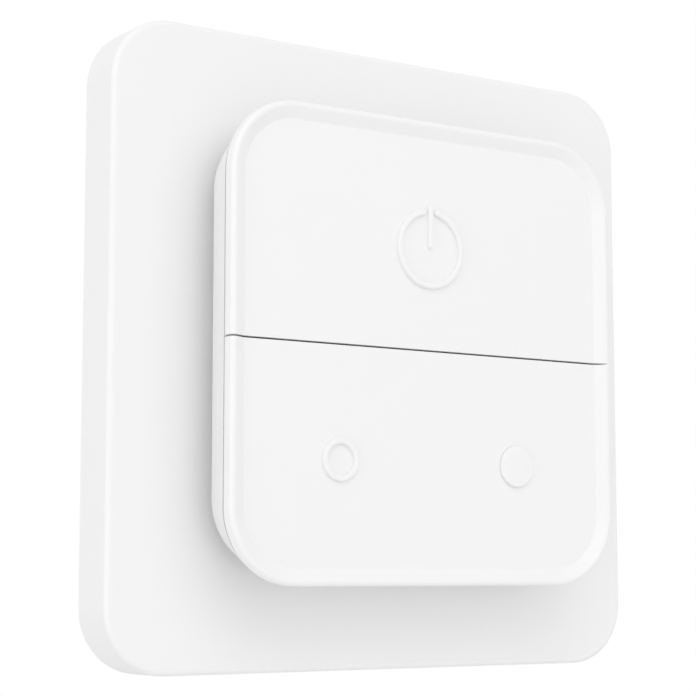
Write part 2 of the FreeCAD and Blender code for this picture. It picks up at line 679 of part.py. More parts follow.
radio_shield = new_body("radio_shield")
outline = new_sketch(radio_shield, "outline", "board_rear")
rectangle(outline, "-shield_half_width", "shield_half_width",
          "radio_height - shield_half_height", "radio_height + shield_half_height")
pad(radio_shield, outline, "shield_depth", back=True)
inside = new_sketch(radio_shield, "inside", "board_rear")
rectangle(inside, "shield_sheet - shield_half_width", "shield_half_width - shield_sheet",
          "radio_height - shield_half_height + shield_sheet",
          "radio_height + shield_half_height - shield_sheet")
pocket(radio_shield, inside, "shield_depth - shield_sheet")

crystal = new_body("crystal")
outline = new_sketch(crystal, "outline", "board_rear")
rectangle(outline, "crystal_place - crystal_half_width", "crystal_place + crystal_half_width",
          "radio_height - crystal_half_height", "radio_height + crystal_half_height")
pad(crystal, outline, "crystal_depth", back=True)

# snap domes on the front of the board, one under each nib of the keys
for label, across, up in (
    ("dome_upper", "0", "upper_nib_height"),
    ("dome_lower_left", "-lower_nib_place", "lower_nib_height"),
    ("dome_lower_right", "lower_nib_place", "lower_nib_height"),
):
    dome = new_body(label)
    section = new_sketch(dome, "section", "0", "YZ_Plane")
    polygon(section, (
        ("-dome_height", "0"),
        ("-dome_height", "dome_radius * 0.3"),
        ("-(dome_height * 0.7)", "dome_radius * 0.65"),
        ("0", "dome_radius"),
        ("0", "dome_radius * 0.9"),
        ("dome_sheet - dome_height * 0.7", "dome_radius * 0.6"),
        ("dome_sheet - dome_height", "dome_radius * 0.27"),
        ("dome_sheet - dome_height", "0"),
    ))
    revolved(dome, section)
    dome.setExpression("Placement.Base.x", linked(across))
    dome.setExpression("Placement.Base.y", linked("-board_front"))
    dome.setExpression("Placement.Base.z", linked(up))

# magnets in the neck's sockets
for label, across, up in (
    ("magnet_upper_left", "-magnet_place", "magnet_height"),
    ("magnet_upper_right", "magnet_place", "magnet_height"),
    ("magnet_lower_left", "-magnet_place", "-magnet_height"),
    ("magnet_lower_right", "magnet_place", "-magnet_height"),
):
    magnet = new_body(label)
    outline = new_sketch(magnet, "outline", "0")
    circle(outline, "0", "0", "magnet_radius")
    pad(magnet, outline, "magnet_thickness")
    magnet.setExpression("Placement.Base.x", linked(across))
    magnet.setExpression("Placement.Base.y", linked("-floor_front"))
    magnet.setExpression("Placement.Base.z", linked(up))

# key frame: clamps the board and carries the pivots of both keys
key_frame = new_body("key_frame")
outline = new_sketch(key_frame, "outline", "frame_rear")
rounded(outline, "frame_half", "frame_half", "cavity_corner - frame_play")
pad(key_frame, outline, "frame_thickness")
feet = new_sketch(key_frame, "feet", "frame_rear")
four_circles(feet, "post_place", "post_place", "post_radius")
pad(key_frame, feet, "frame_rear - board_front", back=True)
windows = new_sketch(key_frame, "windows", "frame_front")
circle(windows, "0", "upper_nib_height", "nib_window")
circle(windows, "-lower_nib_place", "lower_nib_height", "nib_window")
circle(windows, "lower_nib_place", "lower_nib_height", "nib_window")
for sign in ("", "-"):
    rectangle(windows, sign + "(upper_ear_place - side_play - lug_thickness - lug_play)",
              sign + "upper_ear_place",
              "upper_pivot_height - ear_half_width", "upper_pivot_height + ear_half_width")
    rectangle(windows, sign + "frame_half * 0.18", sign + "frame_half * 0.53",
              "frame_half * 0.5", "frame_half * 0.78")
    rectangle(windows, sign + "frame_half * 0.21", sign + "frame_half * 0.88",
              "lower_nib_height * 0.57", "frame_half * 0.21")
lower_reach = "side_play + lug_thickness + lug_play"
rectangle(windows, "-ear_half_width", "ear_half_width",
          "lower_ear_top - (" + lower_reach + ")", "lower_ear_top")
rectangle(windows, "-ear_half_width", "ear_half_width",
          "lower_ear_bottom", "lower_ear_bottom + " + lower_reach)
pocket(key_frame, windows, "frame_thickness")
ears = new_sketch(key_frame, "ears", "ear_rear")
for sign in ("", "-"):
    rectangle(ears, sign + "upper_ear_place", sign + "(upper_ear_place + ear_thickness)",
              "upper_pivot_height - ear_half_width", "upper_pivot_height + ear_half_width")
rectangle(ears, "-ear_half_width", "ear_half_width", "lower_ear_top", "lower_ear_top + ear_thickness")
rectangle(ears, "-ear_half_width", "ear_half_width", "lower_ear_bottom - ear_thickness", "lower_ear_bottom")
pad(key_frame, ears, "ear_front - ear_rear")
for name, offset in (("right_bore", "upper_ear_place"), ("left_bore", "-(upper_ear_place + ear_thickness)")):
    bore = new_sketch(key_frame, name, offset, "YZ_Plane")
    circle(bore, "-pivot_depth", "upper_pivot_height", "pivot_bore")
    pocket(key_frame, bore, "ear_thickness", back=True)
for name, offset in (("top_bore", "lower_ear_top"), ("bottom_bore", "lower_ear_bottom - ear_thickness")):
    bore = new_sketch(key_frame, name, offset, "XY_Plane")
    circle(bore, "0", "-pivot_depth", "pivot_bore")
    pocket(key_frame, bore, "ear_thickness", back=True)
holes = new_sketch(key_frame, "holes", "frame_front")
four_circles(holes, "post_place", "post_place", "screw_radius + screw_play")
pocket(key_frame, holes, "frame_front - board_front")
seats = new_sketch(key_frame, "seats", "frame_front")
four_circles(seats, "post_place", "post_place", "screw_head_radius + screw_play")
pocket(key_frame, seats, "screw_head_thickness")

# housing screws: four self-tapping pan heads with a cross recess
housing_screws = new_body("housing_screws")
housing_screws.AllowCompound = True
heads = new_sketch(housing_screws, "heads", "head_rear")
four_circles(heads, "post_place", "post_place", "screw_head_radius")
pad(housing_screws, heads, "screw_head_thickness")
shanks = new_sketch(housing_screws, "shanks", "head_rear")
four_circles(shanks, "post_place", "post_place", "screw_radius")
pad(housing_screws, shanks, "screw_length", back=True)
long = "screw_head_radius * 0.58"
short = "screw_head_radius * 0.12"
for name, wide, high in (("cross_bar", long, short), ("cross_post", short, long)):
    cross = new_sketch(housing_screws, name, "frame_front")
    for side in ("", "-"):
        for level in ("", "-"):
            rectangle(cross, "%spost_place - %s" % (side, wide), "%spost_place + %s" % (side, wide),
                      "%spost_place - %s" % (level, high), "%spost_place + %s" % (level, high))
    pocket(housing_screws, cross, "screw_head_thickness * 0.5")


def key_shell(body):
    """The whole dished front: a rim section carried round the rounded square, and the flat face inside it."""
    path = new_sketch(body, "path", "0")
    rounded(path, "key_half", "key_half", "key_corner")
    rim = new_sketch(body, "rim", "0", "YZ_Plane")
    points = (
        ("-seam_front", "seam_half"), ("-key_widest", "key_half"),
        ("-(crest_depth - crest_rounding)", "key_half"), ("-crest_depth", "crest_half"),
        ("-face_depth", "face_half"), ("-face_depth", "face_half - skirt_wall / 2"),
        ("-key_inside", "face_half - skirt_wall / 2"), ("-key_inside", "skirt_half"),
        ("-seam_front", "skirt_half"),
    )
    spots = [FreeCAD.Vector(number(across), number(up), 0) for across, up in points]
    rise = number("seam_inset")
    bulge = FreeCAD.Vector(
        (spots[0].x + spots[1].x) / 2 - rise / 5, (spots[0].y + spots[1].y) / 2 + rise / 5, 0)
    quarter = number("crest_rounding") * math.sqrt(0.5)
    middle = FreeCAD.Vector(spots[2].x - quarter, spots[3].y + quarter, 0)
    rim.addGeometry(Part.Arc(spots[0], bulge, spots[1]))
    rim.addGeometry(Part.LineSegment(spots[1], spots[2]))
    rim.addGeometry(Part.Arc(spots[2], middle, spots[3]))
    for i in range(3, 9):
        rim.addGeometry(Part.LineSegment(spots[i], spots[(i + 1) % 9]))
    # an arc made clockwise keeps its ends in the other order
    ends = []
    for i in range(9):
        start = rim.getPoint(i, 1)
        ends.append((1, 2) if start.distanceToPoint(spots[i]) < CLOSE else (2, 1))
    for i in range(9):
        following = (i + 1) % 9
        kind = "Tangent" if i in (0, 1) else "Coincident"
        rim.addConstraint(Sketcher.Constraint(kind, i, ends[i][1], following, ends[following][0]))
    for i in range(9):
        place(rim, i, ends[i][0], points[i][0], points[i][1])
    sweep = body.newObject("PartDesign::AdditivePipe", body.Name + "_sweep")
    sweep.Profile = rim
    sweep.Spine = path
    doc.recompute()
    face = new_sketch(body, "face", "key_inside")
    inner = "face_half - skirt_wall / 4"
    rounded(face, inner, inner, "key_corner - key_half + " + inner)
    return pad(body, face, "key_skin")


# upper key: pressed at its lower end, turns on two pins near its top edge
upper_key = new_body("upper_key")
key_shell(upper_key)
away = new_sketch(upper_key, "away", "crest_depth")
rectangle(away, "-key_half * 1.1", "key_half * 1.1", "-key_half * 1.1", "key_gap / 2")
pocket(upper_key, away, "crest_depth - seam_rear")
lug = new_sketch(upper_key, "lug", "key_inside")
lug_out = "upper_ear_place - side_play"
rectangle(lug, lug_out + " - lug_thickness", lug_out,
          "upper_pivot_height - lug_half_width", "upper_pivot_height + lug_half_width")
lug_pad = pad(upper_key, lug, "key_inside - pivot_depth + lug_half_width", back=True)
pin = new_sketch(upper_key, "pin", lug_out, "YZ_Plane")
circle(pin, "-pivot_depth", "upper_pivot_height", "pivot_radius")
pin_pad = pad(upper_key, pin, "ear_thickness + side_play - pin_play")
mirrored(upper_key, "left_lug", [lug_pad, pin_pad], "YZ_Plane")
nib = new_sketch(upper_key, "nib", "key_inside")
circle(nib, "0", "upper_nib_height", "nib_radius")
pad(upper_key, nib, "key_inside - nib_end", back=True)
ribs = new_sketch(upper_key, "ribs", "key_inside")
for sign in ("", "-"):
    rectangle(ribs, sign + "(rib_place - rib_thickness / 2)", sign + "(rib_place + rib_thickness / 2)",
              "rib_start", "rib_end")
pad(upper_key, ribs, "rib_height", back=True)
power_ring = new_sketch(upper_key, "power_ring", "face_depth")
open_ring(power_ring, "ring_centre", "ring_radius", "symbol_stroke", "ring_opening")
pad(upper_key, power_ring, "symbol_height")
power_bar = new_sketch(upper_key, "power_bar", "face_depth")
slot(power_bar, ("0", "bar_low + symbol_stroke / 2"), ("0", "bar_high - symbol_stroke / 2"),
     "symbol_stroke / 2", True)
pad(upper_key, power_bar, "symbol_height")

# lower key: a rocker on an upright pivot, pressed at its left or right end
lower_key = new_body("lower_key")
key_shell(lower_key)
away = new_sketch(lower_key, "away", "crest_depth")
rectangle(away, "-key_half * 1.1", "key_half * 1.1", "-key_gap / 2", "key_half * 1.1")
pocket(lower_key, away, "crest_depth - seam_rear")
lugs = new_sketch(lower_key, "lugs", "key_inside")
upper_lug = "lower_ear_top - side_play"
lower_lug = "lower_ear_bottom + side_play"
rectangle(lugs, "-lug_half_width", "lug_half_width", upper_lug + " - lug_thickness", upper_lug)
rectangle(lugs, "-lug_half_width", "lug_half_width", lower_lug, lower_lug + " + lug_thickness")
pad(lower_key, lugs, "key_inside - pivot_depth + lug_half_width", back=True)
for name, offset, back in (("top_pin", upper_lug, False), ("bottom_pin", lower_lug, True)):
    pin = new_sketch(lower_key, name, offset, "XY_Plane")
    circle(pin, "0", "-pivot_depth", "pivot_radius")
    pad(lower_key, pin, "ear_thickness + side_play - pin_play", back=back)
nibs = new_sketch(lower_key, "nibs", "key_inside")
circle(nibs, "-lower_nib_place", "lower_nib_height", "nib_radius")
circle(nibs, "lower_nib_place", "lower_nib_height", "nib_radius")
pad(lower_key, nibs, "key_inside - nib_end", back=True)
ribs = new_sketch(lower_key, "ribs", "key_inside")
for sign in ("", "-"):
    rectangle(ribs, sign + "(rib_place - rib_thickness / 2)", sign + "(rib_place + rib_thickness / 2)",
              "-rib_end", "-rib_start")
pad(lower_key, ribs, "rib_height", back=True)
dots = new_sketch(lower_key, "dots", "face_depth")
circle(dots, "-dot_place", "dot_height", "dot_radius")
circle(dots, "-dot_place", "dot_height", "dot_radius - symbol_stroke")
circle(dots, "dot_place", "dot_height", "dot_radius")
pad(lower_key, dots, "symbol_height")

doc.recompute()
for item in doc.Objects:
    if "Invalid" in item.State or "Error" in item.State:
        raise RuntimeError("not built: " + item.Name)
for body in doc.findObjects("PartDesign::Body"):
    shape = body.Shape
    if shape.isNull() or not shape.isValid() or not shape.Solids:
        raise RuntimeError("no sound solid: " + body.Label)
    shape.exportStep("parts/" + body.Label + ".step")
    print(body.Label, len(shape.Solids), round(shape.Volume, 3))
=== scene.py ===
import json
import math

import bmesh
import bpy
import numpy as np
from bpy.props import FloatProperty, FloatVectorProperty, IntProperty, PointerProperty
from mathutils import Euler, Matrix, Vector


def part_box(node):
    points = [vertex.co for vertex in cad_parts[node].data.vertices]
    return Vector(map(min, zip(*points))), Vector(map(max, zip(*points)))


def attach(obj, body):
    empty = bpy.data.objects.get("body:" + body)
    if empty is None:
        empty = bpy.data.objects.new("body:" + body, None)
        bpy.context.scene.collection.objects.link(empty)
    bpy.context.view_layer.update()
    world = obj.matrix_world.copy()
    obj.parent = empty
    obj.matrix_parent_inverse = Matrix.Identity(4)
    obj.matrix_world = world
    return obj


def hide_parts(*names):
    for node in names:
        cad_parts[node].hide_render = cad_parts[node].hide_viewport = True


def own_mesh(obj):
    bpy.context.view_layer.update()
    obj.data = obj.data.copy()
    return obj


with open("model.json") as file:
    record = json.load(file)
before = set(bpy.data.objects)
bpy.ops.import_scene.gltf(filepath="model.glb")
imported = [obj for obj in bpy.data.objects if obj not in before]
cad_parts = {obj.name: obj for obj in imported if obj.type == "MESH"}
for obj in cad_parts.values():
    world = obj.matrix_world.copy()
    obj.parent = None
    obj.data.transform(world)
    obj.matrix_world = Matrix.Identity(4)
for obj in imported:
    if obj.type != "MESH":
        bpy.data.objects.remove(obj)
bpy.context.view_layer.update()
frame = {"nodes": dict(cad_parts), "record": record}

bl_info = {
    "name": "Wireless Wall Switch",
    "version": (1, 0, 0),
    "blender": (4, 5, 0),
    "location": "View3D > Sidebar > Switch",
    "description": "Keys, raised symbols, finishes and studio for a wireless wall switch",
    "category": "Add Mesh",
}

MM = 0.001
SAME_POINT = 1e-7
NODES = frame["nodes"]
BODIES = frame["record"]["behaviour"]["bodies"]
BODY_OF = {node: body for body, nodes in BODIES.items() for node in nodes}

# the camera, fitted to the corners of the wall plate's front: the picture's width and the focal length in
# pixels, the sensor's width in millimetres, the camera's place in metres, and its tilt from straight down and
# its turn about the upright in degrees
PICTURE_WIDTH = 696.0
FOCAL_LENGTH = 1923.0
SENSOR_WIDTH = 36.0
CAMERA_PLACE = (-0.15352, -0.22694, -0.02997)
CAMERA_TILT = 96.699
CAMERA_TURN = -33.897


class SwitchSizes(bpy.types.PropertyGroup):
    """Sizes of the keys and symbols; a depth is measured from the wall."""

    key_half: FloatProperty(
        name="Key half width", description="Middle of the keys to their widest point",
        default=31.57 * MM, unit="LENGTH", subtype="DISTANCE")
    key_corner: FloatProperty(
        name="Key corner", description="Corner radius of the keys at their widest",
        default=10.0 * MM, unit="LENGTH", subtype="DISTANCE")
    key_widest: FloatProperty(
        name="Widest depth", description="Depth at which the keys' side stops bulging out",
        default=17.9 * MM, unit="LENGTH", subtype="DISTANCE")
    seam_half: FloatProperty(
        name="Seam half width", description="Half width of the keys at the seam over the housing",
        default=31.05 * MM, unit="LENGTH", subtype="DISTANCE")
    seam_front: FloatProperty(
        name="Seam depth", description="Depth of the keys' lower edge at the seam",
        default=16.65 * MM, unit="LENGTH", subtype="DISTANCE")
    skirt_half: FloatProperty(
        name="Skirt half width", description="Half width of the skirt's inner wall",
        default=29.95 * MM, unit="LENGTH", subtype="DISTANCE")
    crest_depth: FloatProperty(
        name="Crest depth", description="Depth of the rim's crest",
        default=19.17 * MM, unit="LENGTH", subtype="DISTANCE")
    crest_rounding: FloatProperty(
        name="Crest rounding", description="Radius on the outer side of the crest",
        default=0.53 * MM, unit="LENGTH", subtype="DISTANCE")
    crest_inner_rounding: FloatProperty(
        name="Crest inner rounding", description="Radius on the inner side of the crest, over the slope",
        default=1.0 * MM, unit="LENGTH", subtype="DISTANCE")
    frame_half: FloatProperty(
        name="Key frame half width", description="Half width of the key frame that carries the pivots",
        default=28.3 * MM, unit="LENGTH", subtype="DISTANCE")
    slope_width: FloatProperty(
        name="Slope width", description="Width of the slope from the crest down to the sunk face",
        default=1.8 * MM, unit="LENGTH", subtype="DISTANCE")
    slope_depth: FloatProperty(
        name="Slope depth", description="How far the face is sunk below the crest",
        default=0.77 * MM, unit="LENGTH", subtype="DISTANCE")
    key_inside: FloatProperty(
        name="Inner plane", description="Depth of the keys' inner plane",
        default=17.15 * MM, unit="LENGTH", subtype="DISTANCE")
    key_gap: FloatProperty(
        name="Gap", description="Gap between the two keys",
        default=0.22 * MM, unit="LENGTH", subtype="DISTANCE")
    edge_softness: FloatProperty(
        name="Edge softness", description="Width of the moulded edges' small rounding",
        default=0.09 * MM, unit="LENGTH", subtype="DISTANCE")
    symbol_height: FloatProperty(
        name="Symbol height", description="How far the symbols stand out of the face",
        default=0.5 * MM, unit="LENGTH", subtype="DISTANCE")
    symbol_stroke: FloatProperty(
        name="Symbol stroke", description="Width of the symbols' lines",
        default=0.8 * MM, unit="LENGTH", subtype="DISTANCE")
    corner_steps: IntProperty(
        name="Corner steps", description="Stations round each corner of the keys",
        default=28, min=6, max=64)


class SwitchColours(bpy.types.PropertyGroup):
    """Colours of the finishes, in linear light."""

    plate: FloatVectorProperty(
        name="Plate", description="Wall plate's plastic", size=4, subtype="COLOR",
        default=(0.878, 0.878, 0.878, 1.0), min=0.0, max=1.0)
    housing: FloatVectorProperty(
        name="Housing", description="Rear housing's plastic", size=4, subtype="COLOR",
        default=(0.866, 0.866, 0.866, 1.0), min=0.0, max=1.0)
    key: FloatVectorProperty(
        name="Key", description="Keys' plastic", size=4, subtype="COLOR",
        default=(0.884, 0.884, 0.884, 1.0), min=0.0, max=1.0)
    mount: FloatVectorProperty(
        name="Mounting plate", description="Mounting plate's plastic", size=4, subtype="COLOR",
        default=(0.72, 0.73, 0.74, 1.0), min=0.0, max=1.0)
    frame: FloatVectorProperty(
        name="Key frame", description="Key frame's plastic", size=4, subtype="COLOR",
        default=(0.05, 0.052, 0.056, 1.0), min=0.0, max=1.0)
    board: FloatVectorProperty(
        name="Board", description="Circuit board's solder mask", size=4, subtype="COLOR",
        default=(0.03, 0.24, 0.11, 1.0), min=0.0, max=1.0)
    steel: FloatVectorProperty(
        name="Steel", description="Zinc and nickel plated steel", size=4, subtype="COLOR",
        default=(0.60, 0.60, 0.59, 1.0), min=0.0, max=1.0)
    tape: FloatVectorProperty(
        name="Tape", description="Foam tape", size=4, subtype="COLOR",
        default=(0.62, 0.62, 0.59, 1.0), min=0.0, max=1.0)


def grid_quads(rows, columns, around=False):
    """Faces of a rows by columns grid of points numbered row by row; around closes the rows' ring."""
    last = rows if around else rows - 1
    r, c = np.meshgrid(np.arange(last), np.arange(columns - 1), indexing="ij")
    following = (r + 1) % rows
    near, far = r * columns + c, following * columns + c
    return np.stack([near, far, far + 1, near + 1], -1).reshape(-1, 4).tolist()


def place_piece(name, mesh, body):
    """Puts a mesh into the scene as a piece that rides on a body."""
    piece = bpy.data.objects.new(name, mesh)
    bpy.context.scene.collection.objects.link(piece)
    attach(piece, body)
    return piece


def make_piece(name, grids, faces, body, finish):
    """Joins point grids and their faces into one closed mesh with outward normals, riding on a body."""
    points = np.concatenate([grid.reshape(-1, 3) for grid in grids])
    mesh = bpy.data.meshes.new(name)
    mesh.from_pydata(points.tolist(), [], faces)
    work = bmesh.new()
    work.from_mesh(mesh)
    bmesh.ops.remove_doubles(work, verts=work.verts, dist=SAME_POINT)
    bmesh.ops.dissolve_degenerate(work, edges=work.edges, dist=SAME_POINT / 10.0)
    bmesh.ops.recalc_face_normals(work, faces=work.faces)
    work.to_mesh(mesh)
    work.free()
    mesh.update()
    mesh.materials.append(finish)
    return place_piece(name, mesh, body)


def soften(piece, width, angle=12):
    """A small rounding on edges that turn by more than the angle in degrees, with flats that shade flat."""
    bevel = piece.modifiers.new("moulded edge", "BEVEL")
    bevel.width = width
    bevel.segments = 2
    bevel.limit_method = "ANGLE"
    bevel.angle_limit = math.radians(angle)
    piece.modifiers.new("flat shading", "WEIGHTED_NORMAL")
    piece.data.shade_smooth()


def moulded_copy(node, width):
    """A frame node's own surface, joined up, with its flats made whole and its sharp edges rounded."""
    mesh = NODES[node].data.copy()
    mesh.name = node + "_moulded"
    work = bmesh.new()
    work.from_mesh(mesh)
    bmesh.ops.remove_doubles(work, verts=work.verts, dist=SAME_POINT)
    bmesh.ops.dissolve_limit(work, angle_limit=math.radians(0.5), verts=work.verts, edges=work.edges)
    work.to_mesh(mesh)
    work.free()
    piece = place_piece(mesh.name, mesh, BODY_OF[node])
    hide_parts(node)
    soften(piece, width, 30)


def key_path(half, corner, low, steps):
    """Upper half of a rounded square, from its right side at height low, over the top, to the left side.

    Each corner is a quarter circle about its centre: centre plus radius times (cos a, sin a). Returns the
    points and their outward directions, so a profile point at offset o lies at point plus o times direction.
    """
    inner = half - corner
    right = np.radians(np.linspace(0.0, 90.0, steps))
    left = np.radians(np.linspace(90.0, 180.0, steps))
    angle = np.concatenate([[0.0], right, left, [math.pi]])
    direction = np.stack([np.cos(angle), np.sin(angle)], -1)
    centre = np.concatenate([[[inner, low]], np.tile([inner, inner], (steps, 1)),
                             np.tile([-inner, inner], (steps, 1)), [[-inner, low]]])
    return centre + corner * direction, direction


def key_profile(s):
    """The rim's section as (offset from the widest outline, depth), from the skirt's inner wall to the face.

    The side is a circle that meets the widest point upright, the crest a quarter circle that runs over the
    top into a flatter arc as steep as the slope, and the slope is straight.
    """
    bulge = s.key_half - s.seam_half
    rise = s.key_widest - s.seam_front
    radius = (rise * rise + bulge * bulge) / (2.0 * bulge)
    start = math.asin(rise / radius)
    side = np.linspace(-start, 0.0, 9)
    side_arc = np.stack([radius * (np.cos(side) - 1.0), s.key_widest + radius * np.sin(side)], -1)
    turn = np.radians(np.linspace(0.0, 90.0, 9))
    crest = np.stack([s.crest_rounding * (np.cos(turn) - 1.0),
                      s.crest_depth - s.crest_rounding + s.crest_rounding * np.sin(turn)], -1)
    over = np.linspace(0.0, math.atan2(s.slope_depth, s.slope_width), 7)[1:]
    fall = np.stack([-s.crest_rounding - s.crest_inner_rounding * np.sin(over),
                     s.crest_depth - s.crest_inner_rounding * (1.0 - np.cos(over))], -1)
    inner = s.skirt_half - s.key_half
    face = -s.crest_rounding - s.slope_width
    return np.concatenate([
        [[inner, s.key_inside], [inner, s.seam_front]],
        side_arc, crest, fall, [[face, s.crest_depth - s.slope_depth]],
    ])


def key_surfaces(s, flip):
    """The key as a rim swept along the path, closed by a flat face, an inner plane and an end at the gap.

    Rim point (i, j) = path point i + offset j times its direction, at depth j. The face is bounded by the
    rim's last points and the inner plane by its first, both with a straight edge along the gap; the end takes
    the two profiles at the path's ends.
    """
    path, direction = key_path(s.key_half, s.key_corner, s.key_gap / 2.0, s.corner_steps)
    profile = key_profile(s)
    flat = path[:, None, :] + profile[None, :, :1] * direction[:, None, :]
    depth = np.broadcast_to(profile[None, :, 1], flat.shape[:2])
    rim = np.stack([flat[..., 0], -depth, flat[..., 1]], -1)
    rows, columns = rim.shape[:2]
    number = np.arange(rows * columns).reshape(rows, columns)
    faces = grid_quads(rows, columns)
    faces.append(number[::-1, -1].tolist())
    faces.append(number[:, 0].tolist())
    faces.append(number[0].tolist() + number[-1, ::-1].tolist())
    if flip:
        rim = rim * np.array([1.0, 1.0, -1.0])
        faces = [face[::-1] for face in faces]
    return rim, faces


def prism(outline, start, end, axis):
    """A closed prism: the outline's points carried straight along an axis from start to end, with both ends.

    The outline holds the two other coordinates in the order x, y, z with the axis left out.
    """
    outline = np.asarray(outline, float)
    count = len(outline)
    grid = np.stack([np.insert(outline, axis, level, axis=1) for level in (start, end)], 1)
    faces = grid_quads(count, 2, around=True)
    faces.append([2 * i for i in range(count)])
    faces.append([2 * i + 1 for i in reversed(range(count))])
    return grid, faces


def round_outline(across, up, radius, count=40):
    """Points evenly round a circle: centre plus radius times (cos a, sin a)."""
    angle = np.linspace(0.0, 2.0 * math.pi, count, endpoint=False)
    return np.stack([across + radius * np.cos(angle), up + radius * np.sin(angle)], -1)


def box_outline(left, right, low, high):
    """The four corners of a rectangle, in order round it."""
    return [(left, low), (right, low), (right, high), (left, high)]


def dome_surface(foot, radius, height, sheet):
    """A thin dome over a foot point, open to the wall: a sphere's cap and the same cap a sheet lower.

    The sphere's radius is (radius squared + height squared) / (2 height). Its profile is turned about the
    line through the foot along Y, and the rim is the flat ring between the two caps.
    """
    sphere = (radius * radius + height * height) / (2.0 * height)
    inner = math.sqrt(sphere ** 2 - (sphere - height + sheet) ** 2)
    outer_reach = radius * np.sin(np.linspace(0.0, math.pi / 2.0, 12))
    inner_reach = inner * np.sin(np.linspace(math.pi / 2.0, 0.0, 12))
    outer = np.stack([outer_reach, np.sqrt(sphere ** 2 - outer_reach ** 2) - sphere + height], -1)
    under = np.stack([inner_reach, np.sqrt(sphere ** 2 - inner_reach ** 2) - sphere + height - sheet], -1)
    profile = np.concatenate([outer, under])
    angle = np.linspace(0.0, 2.0 * math.pi, 48, endpoint=False)[:, None]
    return foot + np.stack([profile[None, :, 0] * np.cos(angle),
                            np.broadcast_to(-profile[None, :, 1], (len(angle), len(profile))),
                            profile[None, :, 0] * np.sin(angle)], -1)


def ridge(centre_line, outward, narrowing, width, base, height, steps=13):
    """A rounded ridge along a line: full-shouldered half ellipses over a flat underside sunk in the face.

    Point (i, j) = line point i + outward i times width/2 times narrowing i times cos a, at base + height
    times narrowing i times sin a, for a from 0 to 180 degrees, with the roots of both cos a and sin a.
    """
    angle = np.linspace(0.0, math.pi, steps)
    side = np.sign(np.cos(angle)) * np.abs(np.cos(angle)) ** 0.5
    across = np.concatenate([[1.0], side, [-1.0]])
    rise = np.concatenate([[-0.25], np.clip(np.sin(angle), 0.0, 1.0) ** 0.5, [-0.25]])
    reach = 0.5 * width * narrowing[:, None] * across[None, :]
    flat = centre_line[:, None, :] + reach[..., None] * outward[:, None, :]
    lift = base + height * np.where(rise > 0.0, rise * np.sqrt(narrowing)[:, None], rise)
    return np.stack([flat[..., 0], -lift, flat[..., 1]], -1)


def ridge_faces(rows, columns, around):
    """The ridge's quads and its underside; an open line needs no ends, as they run to a point."""
    faces = grid_quads(rows, columns, around)
    last = rows if around else rows - 1
    for i in range(last):
        near, far = i * columns, (i + 1) % rows * columns
        faces.append([near, near + columns - 1, far + columns - 1, far])
    return faces


def new_group(name, inputs, outputs):
    """An empty shader group with its sockets, and its input and output nodes."""
    group = bpy.data.node_groups.new(name, "ShaderNodeTree")
    for title, kind, value in inputs:
        socket = group.interface.new_socket(title, in_out="INPUT", socket_type=kind)
        if value is not None:
            socket.default_value = value
    for title, kind in outputs:
        group.interface.new_socket(title, in_out="OUTPUT", socket_type=kind)
    return group, group.nodes.new("NodeGroupInput"), group.nodes.new("NodeGroupOutput")


def noise(tree, vector, scale, detail):
    """A noise texture on a vector."""
    node = tree.nodes.new("ShaderNodeTexNoise")
    node.inputs["Scale"].default_value = scale
    node.inputs["Detail"].default_value = detail
    tree.links.new(vector, node.inputs["Vector"])
    return node


def arithmetic(tree, operation, first, second):
    """A math node on two values, each a number or another node's output; gives its result."""
    node = tree.nodes.new("ShaderNodeMath")
    node.operation = operation
    for socket, value in zip(node.inputs, (first, second)):
        if isinstance(value, float):
            socket.default_value = value
        else:
            tree.links.new(value, socket)
    return node.outputs["Value"]


def moulded_group():
    """Moulded plastic: a spark-eroded grain for the bump, and slow drifts of tone and gloss over the part."""
    group, given, out = new_group(
        "moulded grain",
        [("Vector", "NodeSocketVector", None), ("Grain Scale", "NodeSocketFloat", 2600.0)],
        [("Height", "NodeSocketFloat"), ("Tone", "NodeSocketFloat"), ("Gloss", "NodeSocketFloat")])
    fine = noise(group, given.outputs["Vector"], 2600.0, 3.0)
    group.links.new(given.outputs["Grain Scale"], fine.inputs["Scale"])
    slow = noise(group, given.outputs["Vector"], 34.0, 2.0)
    smear = noise(group, given.outputs["Vector"], 160.0, 4.0)
    group.links.new(fine.outputs["Fac"], out.inputs["Height"])
    group.links.new(slow.outputs["Fac"], out.inputs["Tone"])
    group.links.new(smear.outputs["Fac"], out.inputs["Gloss"])
    return group


def brushed_group():
    """Rolled sheet: noise stretched along X for the grain, and a cloudy tone for the plating."""
    group, given, out = new_group(
        "rolled sheet", [("Vector", "NodeSocketVector", None)],
        [("Height", "NodeSocketFloat"), ("Tone", "NodeSocketFloat"), ("Gloss", "NodeSocketFloat")])
    stretch = group.nodes.new("ShaderNodeMapping")
    stretch.inputs["Scale"].default_value = (0.04, 1.0, 1.0)
    group.links.new(given.outputs["Vector"], stretch.inputs["Vector"])
    lines = noise(group, stretch.outputs["Vector"], 9000.0, 3.0)
    cloud = noise(group, given.outputs["Vector"], 260.0, 3.0)
    group.links.new(lines.outputs["Fac"], out.inputs["Height"])
    group.links.new(cloud.outputs["Fac"], out.inputs["Tone"])
    group.links.new(lines.outputs["Fac"], out.inputs["Gloss"])
    return group


